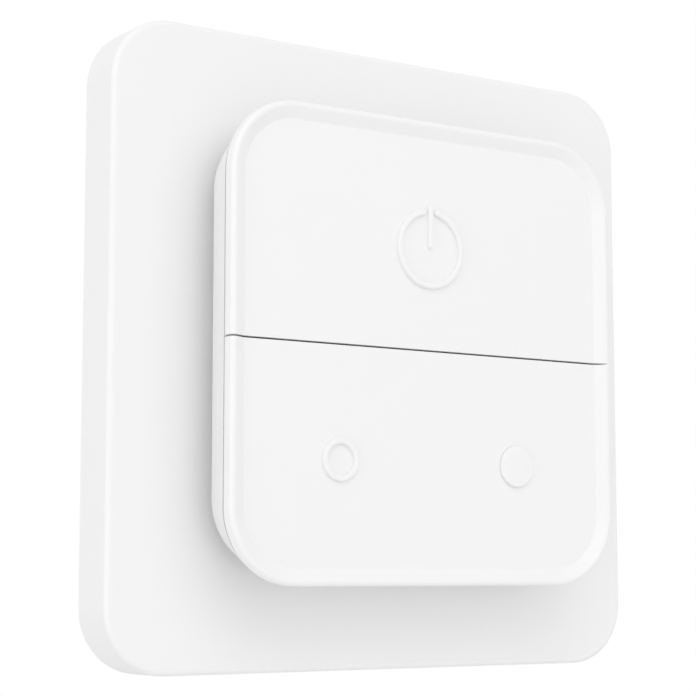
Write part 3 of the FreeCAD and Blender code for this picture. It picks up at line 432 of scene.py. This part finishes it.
def tracks_group():
    """A circuit board's tracks under the mask: lines along X or Z by patch, with round pads between them."""
    group, given, out = new_group(
        "board tracks", [("Vector", "NodeSocketVector", None)],
        [("Height", "NodeSocketFloat"), ("Tone", "NodeSocketFloat"), ("Gloss", "NodeSocketFloat")])
    flat = group.nodes.new("ShaderNodeMapping")
    flat.inputs["Scale"].default_value = (1.0, 0.0, 1.0)
    group.links.new(given.outputs["Vector"], flat.inputs["Vector"])
    place = group.nodes.new("ShaderNodeSeparateXYZ")
    group.links.new(flat.outputs["Vector"], place.inputs["Vector"])
    half_pitch, half_width = 0.55 * MM, 0.13 * MM
    upright = arithmetic(group, "PINGPONG", place.outputs["X"], half_pitch)
    level = arithmetic(group, "PINGPONG", place.outputs["Z"], half_pitch)
    patch = group.nodes.new("ShaderNodeTexVoronoi")
    patch.distance = "CHEBYCHEV"
    patch.inputs["Scale"].default_value = 150.0
    group.links.new(flat.outputs["Vector"], patch.inputs["Vector"])
    split = group.nodes.new("ShaderNodeSeparateColor")
    group.links.new(patch.outputs["Color"], split.inputs["Color"])
    choose = group.nodes.new("ShaderNodeMix")
    group.links.new(arithmetic(group, "GREATER_THAN", split.outputs["Red"], 0.5), choose.inputs["Factor"])
    group.links.new(arithmetic(group, "LESS_THAN", upright, half_width), choose.inputs["A"])
    group.links.new(arithmetic(group, "LESS_THAN", level, half_width), choose.inputs["B"])
    pads = group.nodes.new("ShaderNodeTexVoronoi")
    pads.inputs["Scale"].default_value = 340.0
    pads.inputs["Randomness"].default_value = 0.7
    group.links.new(flat.outputs["Vector"], pads.inputs["Vector"])
    pad = arithmetic(group, "LESS_THAN", pads.outputs["Distance"], 0.17)
    copper = arithmetic(group, "MAXIMUM", choose.outputs["Result"], pad)
    group.links.new(copper, out.inputs["Height"])
    group.links.new(arithmetic(group, "SUBTRACT", 1.0, copper), out.inputs["Tone"])
    cloud = noise(group, given.outputs["Vector"], 400.0, 2.0)
    group.links.new(cloud.outputs["Fac"], out.inputs["Gloss"])
    return group


def finish_material(name, group, colour, shade, rough, bump, metallic, grain):
    """A Principled surface whose colour, roughness and bump vary with a group's masks.

    shade is how much darker the tone mask may make the colour, rough the least and the most roughness, bump
    the height of the grain in metres, and grain its scale, where the group takes one.
    """
    finish = bpy.data.materials.new(name)
    finish.use_nodes = True
    tree = finish.node_tree
    shader = tree.nodes["Principled BSDF"]
    shader.inputs["Metallic"].default_value = metallic
    place = tree.nodes.new("ShaderNodeTexCoord")
    masks = tree.nodes.new("ShaderNodeGroup")
    masks.node_tree = group
    tree.links.new(place.outputs["Object"], masks.inputs["Vector"])
    if grain:
        masks.inputs["Grain Scale"].default_value = grain
    mix = tree.nodes.new("ShaderNodeMix")
    mix.data_type = "RGBA"
    mix.inputs["A"].default_value = tuple(colour)
    mix.inputs["B"].default_value = tuple(c * (1.0 - shade) for c in colour[:3]) + (1.0,)
    tree.links.new(masks.outputs["Tone"], mix.inputs["Factor"])
    tree.links.new(mix.outputs["Result"], shader.inputs["Base Color"])
    spread = tree.nodes.new("ShaderNodeMapRange")
    spread.inputs["To Min"].default_value = rough[0]
    spread.inputs["To Max"].default_value = rough[1]
    spread.inputs["From Min"].default_value = 0.3
    spread.inputs["From Max"].default_value = 0.7
    tree.links.new(masks.outputs["Gloss"], spread.inputs["Value"])
    tree.links.new(spread.outputs["Result"], shader.inputs["Roughness"])
    relief = tree.nodes.new("ShaderNodeBump")
    relief.inputs["Strength"].default_value = 1.0
    relief.inputs["Distance"].default_value = bump
    tree.links.new(masks.outputs["Height"], relief.inputs["Height"])
    tree.links.new(relief.outputs["Normal"], shader.inputs["Normal"])
    return finish


def material(name):
    """A finish by name, made once."""
    made = bpy.data.materials.get(name)
    if made:
        return made
    c = bpy.context.scene.switch_colours
    moulded = bpy.data.node_groups.get("moulded grain") or moulded_group()
    rolled = bpy.data.node_groups.get("rolled sheet") or brushed_group()
    tracks = bpy.data.node_groups.get("board tracks") or tracks_group()
    # group, colour, shade, roughness, bump, metallic, grain scale
    recipes = {
        "plate_plastic": (moulded, c.plate, 0.012, (0.42, 0.5), 2.2e-6, 0.0, 2400.0),
        "housing_plastic": (moulded, c.housing, 0.012, (0.38, 0.46), 1.2e-6, 0.0, 2800.0),
        "key_plastic": (moulded, c.key, 0.008, (0.32, 0.4), 0.7e-6, 0.0, 3200.0),
        "mount_plastic": (moulded, c.mount, 0.03, (0.5, 0.62), 6.0e-6, 0.0, 1500.0),
        "frame_plastic": (moulded, c.frame, 0.2, (0.5, 0.62), 6.0e-6, 0.0, 1800.0),
        "solder_mask": (tracks, c.board, 0.45, (0.28, 0.4), 2.0e-5, 0.0, None),
        "chip_resin": (moulded, (0.02, 0.02, 0.022, 1.0), 0.2, (0.45, 0.6), 3.0e-6, 0.0, 4000.0),
        "foam_tape": (moulded, c.tape, 0.12, (0.8, 0.95), 2.5e-5, 0.0, 1400.0),
        "plated_steel": (rolled, c.steel, 0.14, (0.28, 0.42), 1.5e-6, 1.0, None),
        "bright_nickel": (rolled, (0.66, 0.65, 0.62, 1.0), 0.1, (0.18, 0.3), 0.8e-6, 1.0, None),
        "dark_zinc": (rolled, (0.16, 0.16, 0.17, 1.0), 0.2, (0.3, 0.42), 1.0e-6, 1.0, None),
    }
    return finish_material(name, *recipes[name])


class SWITCH_OT_finishes(bpy.types.Operator):
    """Gives every frame node its finish"""

    bl_idname = "switch.finishes"
    bl_label = "Finishes"
    bl_options = {"REGISTER", "UNDO"}

    FINISHES = {
        "wall_plate": "plate_plastic", "mounting_plate": "mount_plastic",
        "adhesive_pad_upper": "foam_tape", "adhesive_pad_lower": "foam_tape",
        "keeper_plate": "plated_steel", "rear_housing": "housing_plastic",
        "battery_door": "housing_plastic", "coin_cell": "bright_nickel",
        "negative_contact": "bright_nickel", "positive_contact": "bright_nickel",
        "circuit_board": "solder_mask", "radio_chip": "chip_resin", "radio_shield": "plated_steel",
        "crystal": "bright_nickel", "dome_upper": "bright_nickel", "dome_lower_left": "bright_nickel",
        "dome_lower_right": "bright_nickel", "magnet_upper_left": "bright_nickel",
        "magnet_upper_right": "bright_nickel", "magnet_lower_left": "bright_nickel",
        "magnet_lower_right": "bright_nickel", "key_frame": "frame_plastic",
        "housing_screws": "dark_zinc", "upper_key": "key_plastic", "lower_key": "key_plastic",
    }

    def execute(self, context):
        for name, node in NODES.items():
            node.data.materials.clear()
            node.data.materials.append(material(self.FINISHES[name]))
        return {"FINISHED"}


class SWITCH_OT_mouldings(bpy.types.Operator):
    """Rounds the sharp edges of the moulded parts"""

    bl_idname = "switch.mouldings"
    bl_label = "Mouldings"
    bl_options = {"REGISTER", "UNDO"}

    edge_width: FloatProperty(
        name="Edge width", description="Width of the rounding on a moulded part's edges",
        default=0.2 * MM, unit="LENGTH", subtype="DISTANCE")
    fine_edge_width: FloatProperty(
        name="Fine edge width", description="Width of the rounding on the remote's own parts",
        default=0.12 * MM, unit="LENGTH", subtype="DISTANCE")

    def execute(self, context):
        for node in ("wall_plate", "mounting_plate"):
            moulded_copy(node, self.edge_width)
        for node in ("rear_housing", "battery_door", "key_frame"):
            moulded_copy(node, self.fine_edge_width)
        return {"FINISHED"}


class SWITCH_OT_domes(bpy.types.Operator):
    """Makes the snap domes in place of the frame's"""

    bl_idname = "switch.domes"
    bl_label = "Snap domes"
    bl_options = {"REGISTER", "UNDO"}

    sheet: FloatProperty(
        name="Sheet", description="Thickness of the domes' sheet",
        default=0.1 * MM, unit="LENGTH", subtype="DISTANCE")
    pressed: FloatProperty(
        name="Pressed height", description="Share of its height that a pressed dome keeps",
        default=0.4, min=0.1, max=1.0)

    def execute(self, context):
        for node, joint in (("dome_upper", "upper_key_press"), ("dome_lower_left", "lower_key_rock"),
                            ("dome_lower_right", "lower_key_rock")):
            low, high = (np.array(corner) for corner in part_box(node))
            foot = np.array([(low[0] + high[0]) / 2.0, high[1], (low[2] + high[2]) / 2.0])
            grid = dome_surface(foot, (high[0] - low[0]) / 2.0, high[1] - low[1], self.sheet)
            faces = grid_quads(grid.shape[0], grid.shape[1], True)
            dome = make_piece(node + "_snap", [grid], faces, BODY_OF[node], material("bright_nickel"))
            dome.data.shade_smooth()
            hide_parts(node)
            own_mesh(dome)
        return {"FINISHED"}


class SWITCH_OT_keys(bpy.types.Operator):
    """Makes both keys' shells with softly moulded edges in place of the frame's"""

    bl_idname = "switch.keys"
    bl_label = "Keys"
    bl_options = {"REGISTER", "UNDO"}

    def execute(self, context):
        s = context.scene.switch_sizes
        for name, flip in (("upper_key", False), ("lower_key", True)):
            rim, faces = key_surfaces(s, flip)
            shell = make_piece(name + "_shell", [rim], faces, name, material("key_plastic"))
            soften(shell, s.edge_softness)
            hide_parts(name)
        return {"FINISHED"}


class SWITCH_OT_key_works(bpy.types.Operator):
    """Makes the ribs, lugs, pivot pins and nibs behind the keys"""

    bl_idname = "switch.key_works"
    bl_label = "Key works"
    bl_options = {"REGISTER", "UNDO"}

    pivot_depth: FloatProperty(
        name="Pivot depth", description="Depth of both pivots' axes",
        default=15.35 * MM, unit="LENGTH", subtype="DISTANCE")
    pin_radius: FloatProperty(
        name="Pin radius", description="Radius of the pivot pins",
        default=0.7 * MM, unit="LENGTH", subtype="DISTANCE")
    pin_length: FloatProperty(
        name="Pin length", description="How far a pin stands out of its lug",
        default=2.0 * MM, unit="LENGTH", subtype="DISTANCE")
    lug_thickness: FloatProperty(
        name="Lug thickness", description="Thickness of a lug along its pin",
        default=1.6 * MM, unit="LENGTH", subtype="DISTANCE")
    lug_half_width: FloatProperty(
        name="Lug half width", description="Half width of a lug across its pin",
        default=1.1 * MM, unit="LENGTH", subtype="DISTANCE")
    nib_radius: FloatProperty(
        name="Nib radius", description="Radius of the nibs that press the domes",
        default=1.2 * MM, unit="LENGTH", subtype="DISTANCE")
    nib_depth: FloatProperty(
        name="Nib depth", description="Depth of the nibs' ends",
        default=14.15 * MM, unit="LENGTH", subtype="DISTANCE")
    pin_play: FloatProperty(
        name="Side play", description="Play between a lug and its ear",
        default=0.2 * MM, unit="LENGTH", subtype="DISTANCE")
    edge_softness: FloatProperty(
        name="Edge softness", description="Width of the small rounding on the works' edges",
        default=0.05 * MM, unit="LENGTH", subtype="DISTANCE")
    rib_height: FloatProperty(
        name="Rib height", description="How far the ribs stand out of the inner plane",
        default=0.55 * MM, unit="LENGTH", subtype="DISTANCE")
    rib_thickness: FloatProperty(
        name="Rib thickness", description="Thickness of the ribs",
        default=0.8 * MM, unit="LENGTH", subtype="DISTANCE")

    def execute(self, context):
        half = context.scene.switch_sizes.frame_half
        inside = -context.scene.switch_sizes.key_inside
        pivot = -self.pivot_depth
        lug_end = pivot + self.lug_half_width
        upper, lower = [], []

        # ribs, two on each key
        rib_place, rib_start, rib_end = 0.353 * half, 0.106 * half, 0.85 * half
        rib = np.array([-0.5, 0.5]) * self.rib_thickness
        for side in (-1.0, 1.0):
            left, right = side * rib_place + rib
            for solids, low, high in ((upper, rib_start, rib_end), (lower, -rib_end, -rib_start)):
                outline = box_outline(left, right, low, high)
                solids.append(prism(outline, inside, inside + self.rib_height, 1))

        # upper key: a lug and a pin at each side, and one nib
        ear_place, pivot_height, nib_height = 0.749 * half, half - 2.3 * MM, 0.353 * half
        for side in (-1.0, 1.0):
            out = side * (ear_place - self.pin_play)
            left, right = sorted((out, out - side * self.lug_thickness))
            low, high = pivot_height - self.lug_half_width, pivot_height + self.lug_half_width
            upper.append(prism(box_outline(left, right, low, high), inside, lug_end, 1))
            pin = round_outline(pivot, pivot_height, self.pin_radius)
            upper.append(prism(pin, out, out + side * self.pin_length, 0))
        upper.append(prism(round_outline(0.0, nib_height, self.nib_radius), inside, -self.nib_depth, 1))

        # lower key: a lug and a pin at each end of its upright axis, and two nibs
        top_ear, bottom_ear = -0.18 * half, 2.9 * MM - half
        nib_place, nib_height = 0.6 * half, 14.28 * MM - half
        for out, way in ((top_ear - self.pin_play, 1.0), (bottom_ear + self.pin_play, -1.0)):
            low, high = sorted((out, out - way * self.lug_thickness))
            outline = box_outline(-self.lug_half_width, self.lug_half_width, low, high)
            lower.append(prism(outline, inside, lug_end, 1))
            pin = round_outline(0.0, pivot, self.pin_radius)
            lower.append(prism(pin, out, out + way * self.pin_length, 2))
        for side in (-1.0, 1.0):
            nib = round_outline(side * nib_place, nib_height, self.nib_radius)
            lower.append(prism(nib, inside, -self.nib_depth, 1))

        for body, solids in (("upper_key", upper), ("lower_key", lower)):
            grids, faces, start = [], [], 0
            for grid, own_faces in solids:
                grids.append(grid)
                faces += [[index + start for index in face] for face in own_faces]
                start += grid.size // 3
            piece = make_piece(body + "_works", grids, faces, body, material("key_plastic"))
            soften(piece, self.edge_softness)
        return {"FINISHED"}


class SWITCH_OT_symbols(bpy.types.Operator):
    """Makes the raised symbols: a power sign, a hollow circle and a filled disc"""

    bl_idname = "switch.symbols"
    bl_label = "Symbols"
    bl_options = {"REGISTER", "UNDO"}

    ring_centre: FloatProperty(
        name="Ring height", description="Height of the power ring's centre",
        default=13.95 * MM, unit="LENGTH", subtype="DISTANCE")
    ring_radius: FloatProperty(
        name="Ring radius", description="Radius of the middle of the power ring's line",
        default=5.1 * MM, unit="LENGTH", subtype="DISTANCE")
    ring_opening: FloatProperty(
        name="Ring opening", description="Distance from the upright axis to the middle of a ring's end",
        default=1.15 * MM, unit="LENGTH", subtype="DISTANCE")
    bar_low: FloatProperty(
        name="Bar low", description="Height of the bar's lower end", default=14.0 * MM, unit="LENGTH",
        subtype="DISTANCE")
    bar_high: FloatProperty(
        name="Bar high", description="Height of the bar's upper end", default=20.07 * MM, unit="LENGTH",
        subtype="DISTANCE")
    dot_place: FloatProperty(
        name="Dot place", description="Distance of the circle and the disc from the middle",
        default=14.65 * MM, unit="LENGTH", subtype="DISTANCE")
    dot_height: FloatProperty(
        name="Dot height", description="Height of the circle and the disc", default=-15.2 * MM, unit="LENGTH",
        subtype="DISTANCE")
    dot_radius: FloatProperty(
        name="Dot radius", description="Outer radius of the circle and the disc", default=2.85 * MM,
        unit="LENGTH", subtype="DISTANCE")
    disc_shoulder: FloatProperty(
        name="Disc shoulder", description="Radius of the disc's rounded shoulder", default=0.22 * MM,
        unit="LENGTH", subtype="DISTANCE")

    def execute(self, context):
        s = context.scene.switch_sizes
        face = s.crest_depth - s.slope_depth
        stroke = s.symbol_stroke
        plastic = material("key_plastic")
        cap = np.linspace(0.0, math.pi / 2.0, 9)

        # power ring: the line runs round from the left end, and its ends narrow over half a stroke
        opening = math.asin(self.ring_opening / self.ring_radius)
        turn = np.linspace(math.pi / 2.0 + opening, 2.5 * math.pi - opening, 97)
        step = 0.5 * stroke / self.ring_radius
        angle = np.concatenate([turn[0] - step * np.cos(cap)[:-1], turn, turn[-1] + step * np.sin(cap)[1:]])
        narrow = np.concatenate([np.sin(cap)[:-1], np.ones(len(turn)), np.cos(cap)[1:]])
        outward = np.stack([np.cos(angle), np.sin(angle)], -1)
        line = np.array([0.0, self.ring_centre]) + self.ring_radius * outward
        grid = ridge(line, outward, narrow, stroke, face, s.symbol_height)
        faces = ridge_faces(len(line), grid.shape[1], False)
        self.symbol("power_ring", grid, faces, "upper_key", plastic)

        # power bar: a straight ridge with the same round ends
        run = np.linspace(self.bar_low + stroke / 2.0, self.bar_high - stroke / 2.0, 12)
        height = np.concatenate([run[0] - 0.5 * stroke * np.cos(cap)[:-1], run,
                                 run[-1] + 0.5 * stroke * np.sin(cap)[1:]])
        narrow = np.concatenate([np.sin(cap)[:-1], np.ones(len(run)), np.cos(cap)[1:]])
        line = np.stack([np.zeros_like(height), height], -1)
        outward = np.tile([1.0, 0.0], (len(line), 1))
        grid = ridge(line, outward, narrow, stroke, face, s.symbol_height)
        self.symbol("power_bar", grid, ridge_faces(len(line), grid.shape[1], False), "upper_key", plastic)

        # hollow circle: a closed ridge
        angle = np.linspace(0.0, 2.0 * math.pi, 96, endpoint=False)
        outward = np.stack([np.cos(angle), np.sin(angle)], -1)
        line = np.array([-self.dot_place, self.dot_height]) + (self.dot_radius - stroke / 2.0) * outward
        grid = ridge(line, outward, np.ones(len(angle)), stroke, face, s.symbol_height)
        faces = ridge_faces(len(angle), grid.shape[1], True)
        self.symbol("hollow_circle", grid, faces, "lower_key", plastic)

        # filled disc: a profile with a rounded shoulder, turned about its middle, its foot sunk in the face
        turn = np.linspace(0.0, math.pi / 2.0, 8)
        shoulder, foot, top = self.disc_shoulder, -0.08 * MM, s.symbol_height
        radius = self.dot_radius - shoulder + shoulder * np.cos(turn)
        radius = np.concatenate([[self.dot_radius], radius, [0.0]])
        lift = np.concatenate([[foot], top - shoulder + shoulder * np.sin(turn), [top]])
        reach = radius[None, :, None] * outward[:, None, :]
        flat = np.array([self.dot_place, self.dot_height]) + reach
        depth = np.broadcast_to(face + lift, flat.shape[:2])
        grid = np.stack([flat[..., 0], -depth, flat[..., 1]], -1)
        count, columns = grid.shape[:2]
        faces = grid_quads(count, columns, True) + [[i * columns for i in range(count)]]
        self.symbol("filled_disc", grid, faces, "lower_key", plastic)
        return {"FINISHED"}

    @staticmethod
    def symbol(name, grid, faces, body, plastic):
        """One raised symbol on a key, shaded smooth."""
        piece = make_piece(name, [grid], faces, body, plastic)
        piece.data.shade_smooth()


class SWITCH_OT_studio(bpy.types.Operator):
    """Sets up the pale floor, the soft lights, the white surroundings and the camera"""

    bl_idname = "switch.studio"
    bl_label = "Studio"
    bl_options = {"REGISTER", "UNDO"}

    floor_height: FloatProperty(
        name="Floor height", description="Height of the floor below the switch",
        default=-0.25, unit="LENGTH", subtype="DISTANCE")

    # place and size in metres, power in watts
    LAMPS = {
        "top_lamp": ((-0.35, -0.9, 0.95), 1.1, 3.1),
        "front_lamp": ((0.1, -1.3, 0.4), 1.2, 1.85),
        "left_lamp": ((-1.1, -0.3, -0.08), 0.3, 0.95),
        "side_lamp": ((-1.15, 0.15, 0.1), 0.5, 0.7),
    }

    def execute(self, context):
        scene = context.scene
        self.floor()
        for name, (place, size, power) in self.LAMPS.items():
            self.lamp(name, place, size, power)
        self.surroundings(scene)
        camera = bpy.data.cameras.new("photo_camera")
        camera.sensor_width = SENSOR_WIDTH
        camera.lens = FOCAL_LENGTH / PICTURE_WIDTH * SENSOR_WIDTH
        camera.clip_start = 0.01
        camera.dof.use_dof = False
        eye = bpy.data.objects.new("photo_camera", camera)
        eye.location = CAMERA_PLACE
        eye.rotation_euler = Euler((math.radians(CAMERA_TILT), 0.0, math.radians(CAMERA_TURN)))
        scene.collection.objects.link(eye)
        scene.camera = eye
        scene.view_settings.view_transform = "Standard"
        return {"FINISHED"}

    def floor(self):
        """A round floor: rings of points at growing radius, all at one height."""
        angle = np.linspace(0.0, 2.0 * math.pi, 64, endpoint=False)
        radius = np.array([0.0, 0.5, 1.0, 2.0, 4.0])
        flat = radius[None, :, None] * np.stack([np.cos(angle), np.sin(angle)], -1)[:, None, :]
        grid = np.concatenate([flat, np.full(flat.shape[:2] + (1,), self.floor_height)], -1)
        mesh = bpy.data.meshes.new("studio_floor")
        mesh.from_pydata(grid.reshape(-1, 3).tolist(), [], grid_quads(len(angle), len(radius), True))
        mesh.materials.append(self.pale_floor())
        floor = bpy.data.objects.new("studio_floor", mesh)
        bpy.context.scene.collection.objects.link(floor)

    @staticmethod
    def pale_floor():
        """A matt, faintly cloudy pale surface that the camera sees fade to white with distance."""
        pale = bpy.data.materials.new("pale_floor")
        pale.use_nodes = True
        tree = pale.node_tree
        shader = tree.nodes["Principled BSDF"]
        shader.inputs["Roughness"].default_value = 0.9
        place = tree.nodes.new("ShaderNodeTexCoord")
        cloud = noise(tree, place.outputs["Object"], 6.0, 3.0)
        mix = tree.nodes.new("ShaderNodeMix")
        mix.data_type = "RGBA"
        mix.inputs["A"].default_value = (0.93, 0.93, 0.93, 1.0)
        mix.inputs["B"].default_value = (0.90, 0.90, 0.90, 1.0)
        tree.links.new(cloud.outputs["Fac"], mix.inputs["Factor"])
        tree.links.new(mix.outputs["Result"], shader.inputs["Base Color"])
        distance = tree.nodes.new("ShaderNodeVectorMath")
        distance.operation = "LENGTH"
        tree.links.new(place.outputs["Object"], distance.inputs[0])
        fade = tree.nodes.new("ShaderNodeMapRange")
        fade.interpolation_type = "SMOOTHSTEP"
        fade.inputs["From Min"].default_value = 0.3
        fade.inputs["From Max"].default_value = 1.3
        tree.links.new(distance.outputs["Value"], fade.inputs["Value"])
        path = tree.nodes.new("ShaderNodeLightPath")
        seen = arithmetic(tree, "MULTIPLY", fade.outputs["Result"], path.outputs["Is Camera Ray"])
        white = tree.nodes.new("ShaderNodeEmission")
        choose = tree.nodes.new("ShaderNodeMixShader")
        tree.links.new(seen, choose.inputs["Fac"])
        tree.links.new(shader.outputs["BSDF"], choose.inputs[1])
        tree.links.new(white.outputs["Emission"], choose.inputs[2])
        tree.links.new(choose.outputs["Shader"], tree.nodes["Material Output"].inputs["Surface"])
        return pale

    @staticmethod
    def lamp(name, place, size, power):
        """A round soft lamp that faces the object."""
        data = bpy.data.lights.new(name, "AREA")
        data.shape = "DISK"
        data.size = size
        data.energy = power
        lamp = bpy.data.objects.new(name, data)
        lamp.location = place
        aim = -np.array(place)
        tilt = math.acos(-aim[2] / np.linalg.norm(aim))
        lamp.rotation_euler = Euler((tilt, 0.0, math.atan2(aim[1], aim[0]) - math.pi / 2.0))
        bpy.context.scene.collection.objects.link(lamp)

    @staticmethod
    def surroundings(scene):
        """White to the camera, in reflections and through glass; a softer grey as a light."""
        world = bpy.data.worlds.new("studio_world")
        scene.world = world
        world.use_nodes = True
        tree = world.node_tree
        light = tree.nodes["Background"]
        light.inputs["Color"].default_value = (1.0, 1.0, 1.0, 1.0)
        light.inputs["Strength"].default_value = 0.785
        white = tree.nodes.new("ShaderNodeBackground")
        white.inputs["Color"].default_value = (1.0, 1.0, 1.0, 1.0)
        white.inputs["Strength"].default_value = 1.0
        path = tree.nodes.new("ShaderNodeLightPath")
        straight = arithmetic(
            tree, "MAXIMUM", path.outputs["Is Camera Ray"], path.outputs["Is Transmission Ray"])
        seen = arithmetic(tree, "MAXIMUM", straight, path.outputs["Is Glossy Ray"])
        choose = tree.nodes.new("ShaderNodeMixShader")
        tree.links.new(seen, choose.inputs["Fac"])
        tree.links.new(light.outputs["Background"], choose.inputs[1])
        tree.links.new(white.outputs["Background"], choose.inputs[2])
        tree.links.new(choose.outputs["Shader"], tree.nodes["World Output"].inputs["Surface"])


class SWITCH_PT_panel(bpy.types.Panel):
    """Sizes, colours and the steps that make the switch"""

    bl_idname = "SWITCH_PT_panel"
    bl_label = "Wireless Wall Switch"
    bl_space_type = "VIEW_3D"
    bl_region_type = "UI"
    bl_category = "Switch"

    def draw(self, context):
        layout = self.layout
        sizes = layout.column(heading="Sizes")
        for name in SwitchSizes.__annotations__:
            sizes.prop(context.scene.switch_sizes, name)
        colours = layout.column(heading="Colours")
        for name in SwitchColours.__annotations__:
            colours.prop(context.scene.switch_colours, name)
        steps = layout.column(heading="Make")
        for operator in OPERATORS:
            steps.operator(operator.bl_idname)


OPERATORS = (SWITCH_OT_finishes, SWITCH_OT_mouldings, SWITCH_OT_domes, SWITCH_OT_keys, SWITCH_OT_key_works,
             SWITCH_OT_symbols, SWITCH_OT_studio)
CLASSES = (SwitchSizes, SwitchColours) + OPERATORS + (SWITCH_PT_panel,)


def register():
    for item in CLASSES:
        bpy.utils.register_class(item)
    bpy.types.Scene.switch_sizes = PointerProperty(type=SwitchSizes)
    bpy.types.Scene.switch_colours = PointerProperty(type=SwitchColours)


def unregister():
    del bpy.types.Scene.switch_colours
    del bpy.types.Scene.switch_sizes
    for item in reversed(CLASSES):
        bpy.utils.unregister_class(item)


def main():
    register()
    bpy.ops.switch.finishes()
    bpy.ops.switch.mouldings()
    bpy.ops.switch.domes()
    bpy.ops.switch.keys()
    bpy.ops.switch.key_works()
    bpy.ops.switch.symbols()
    bpy.ops.switch.studio()


if __name__ == "__main__":
    main()
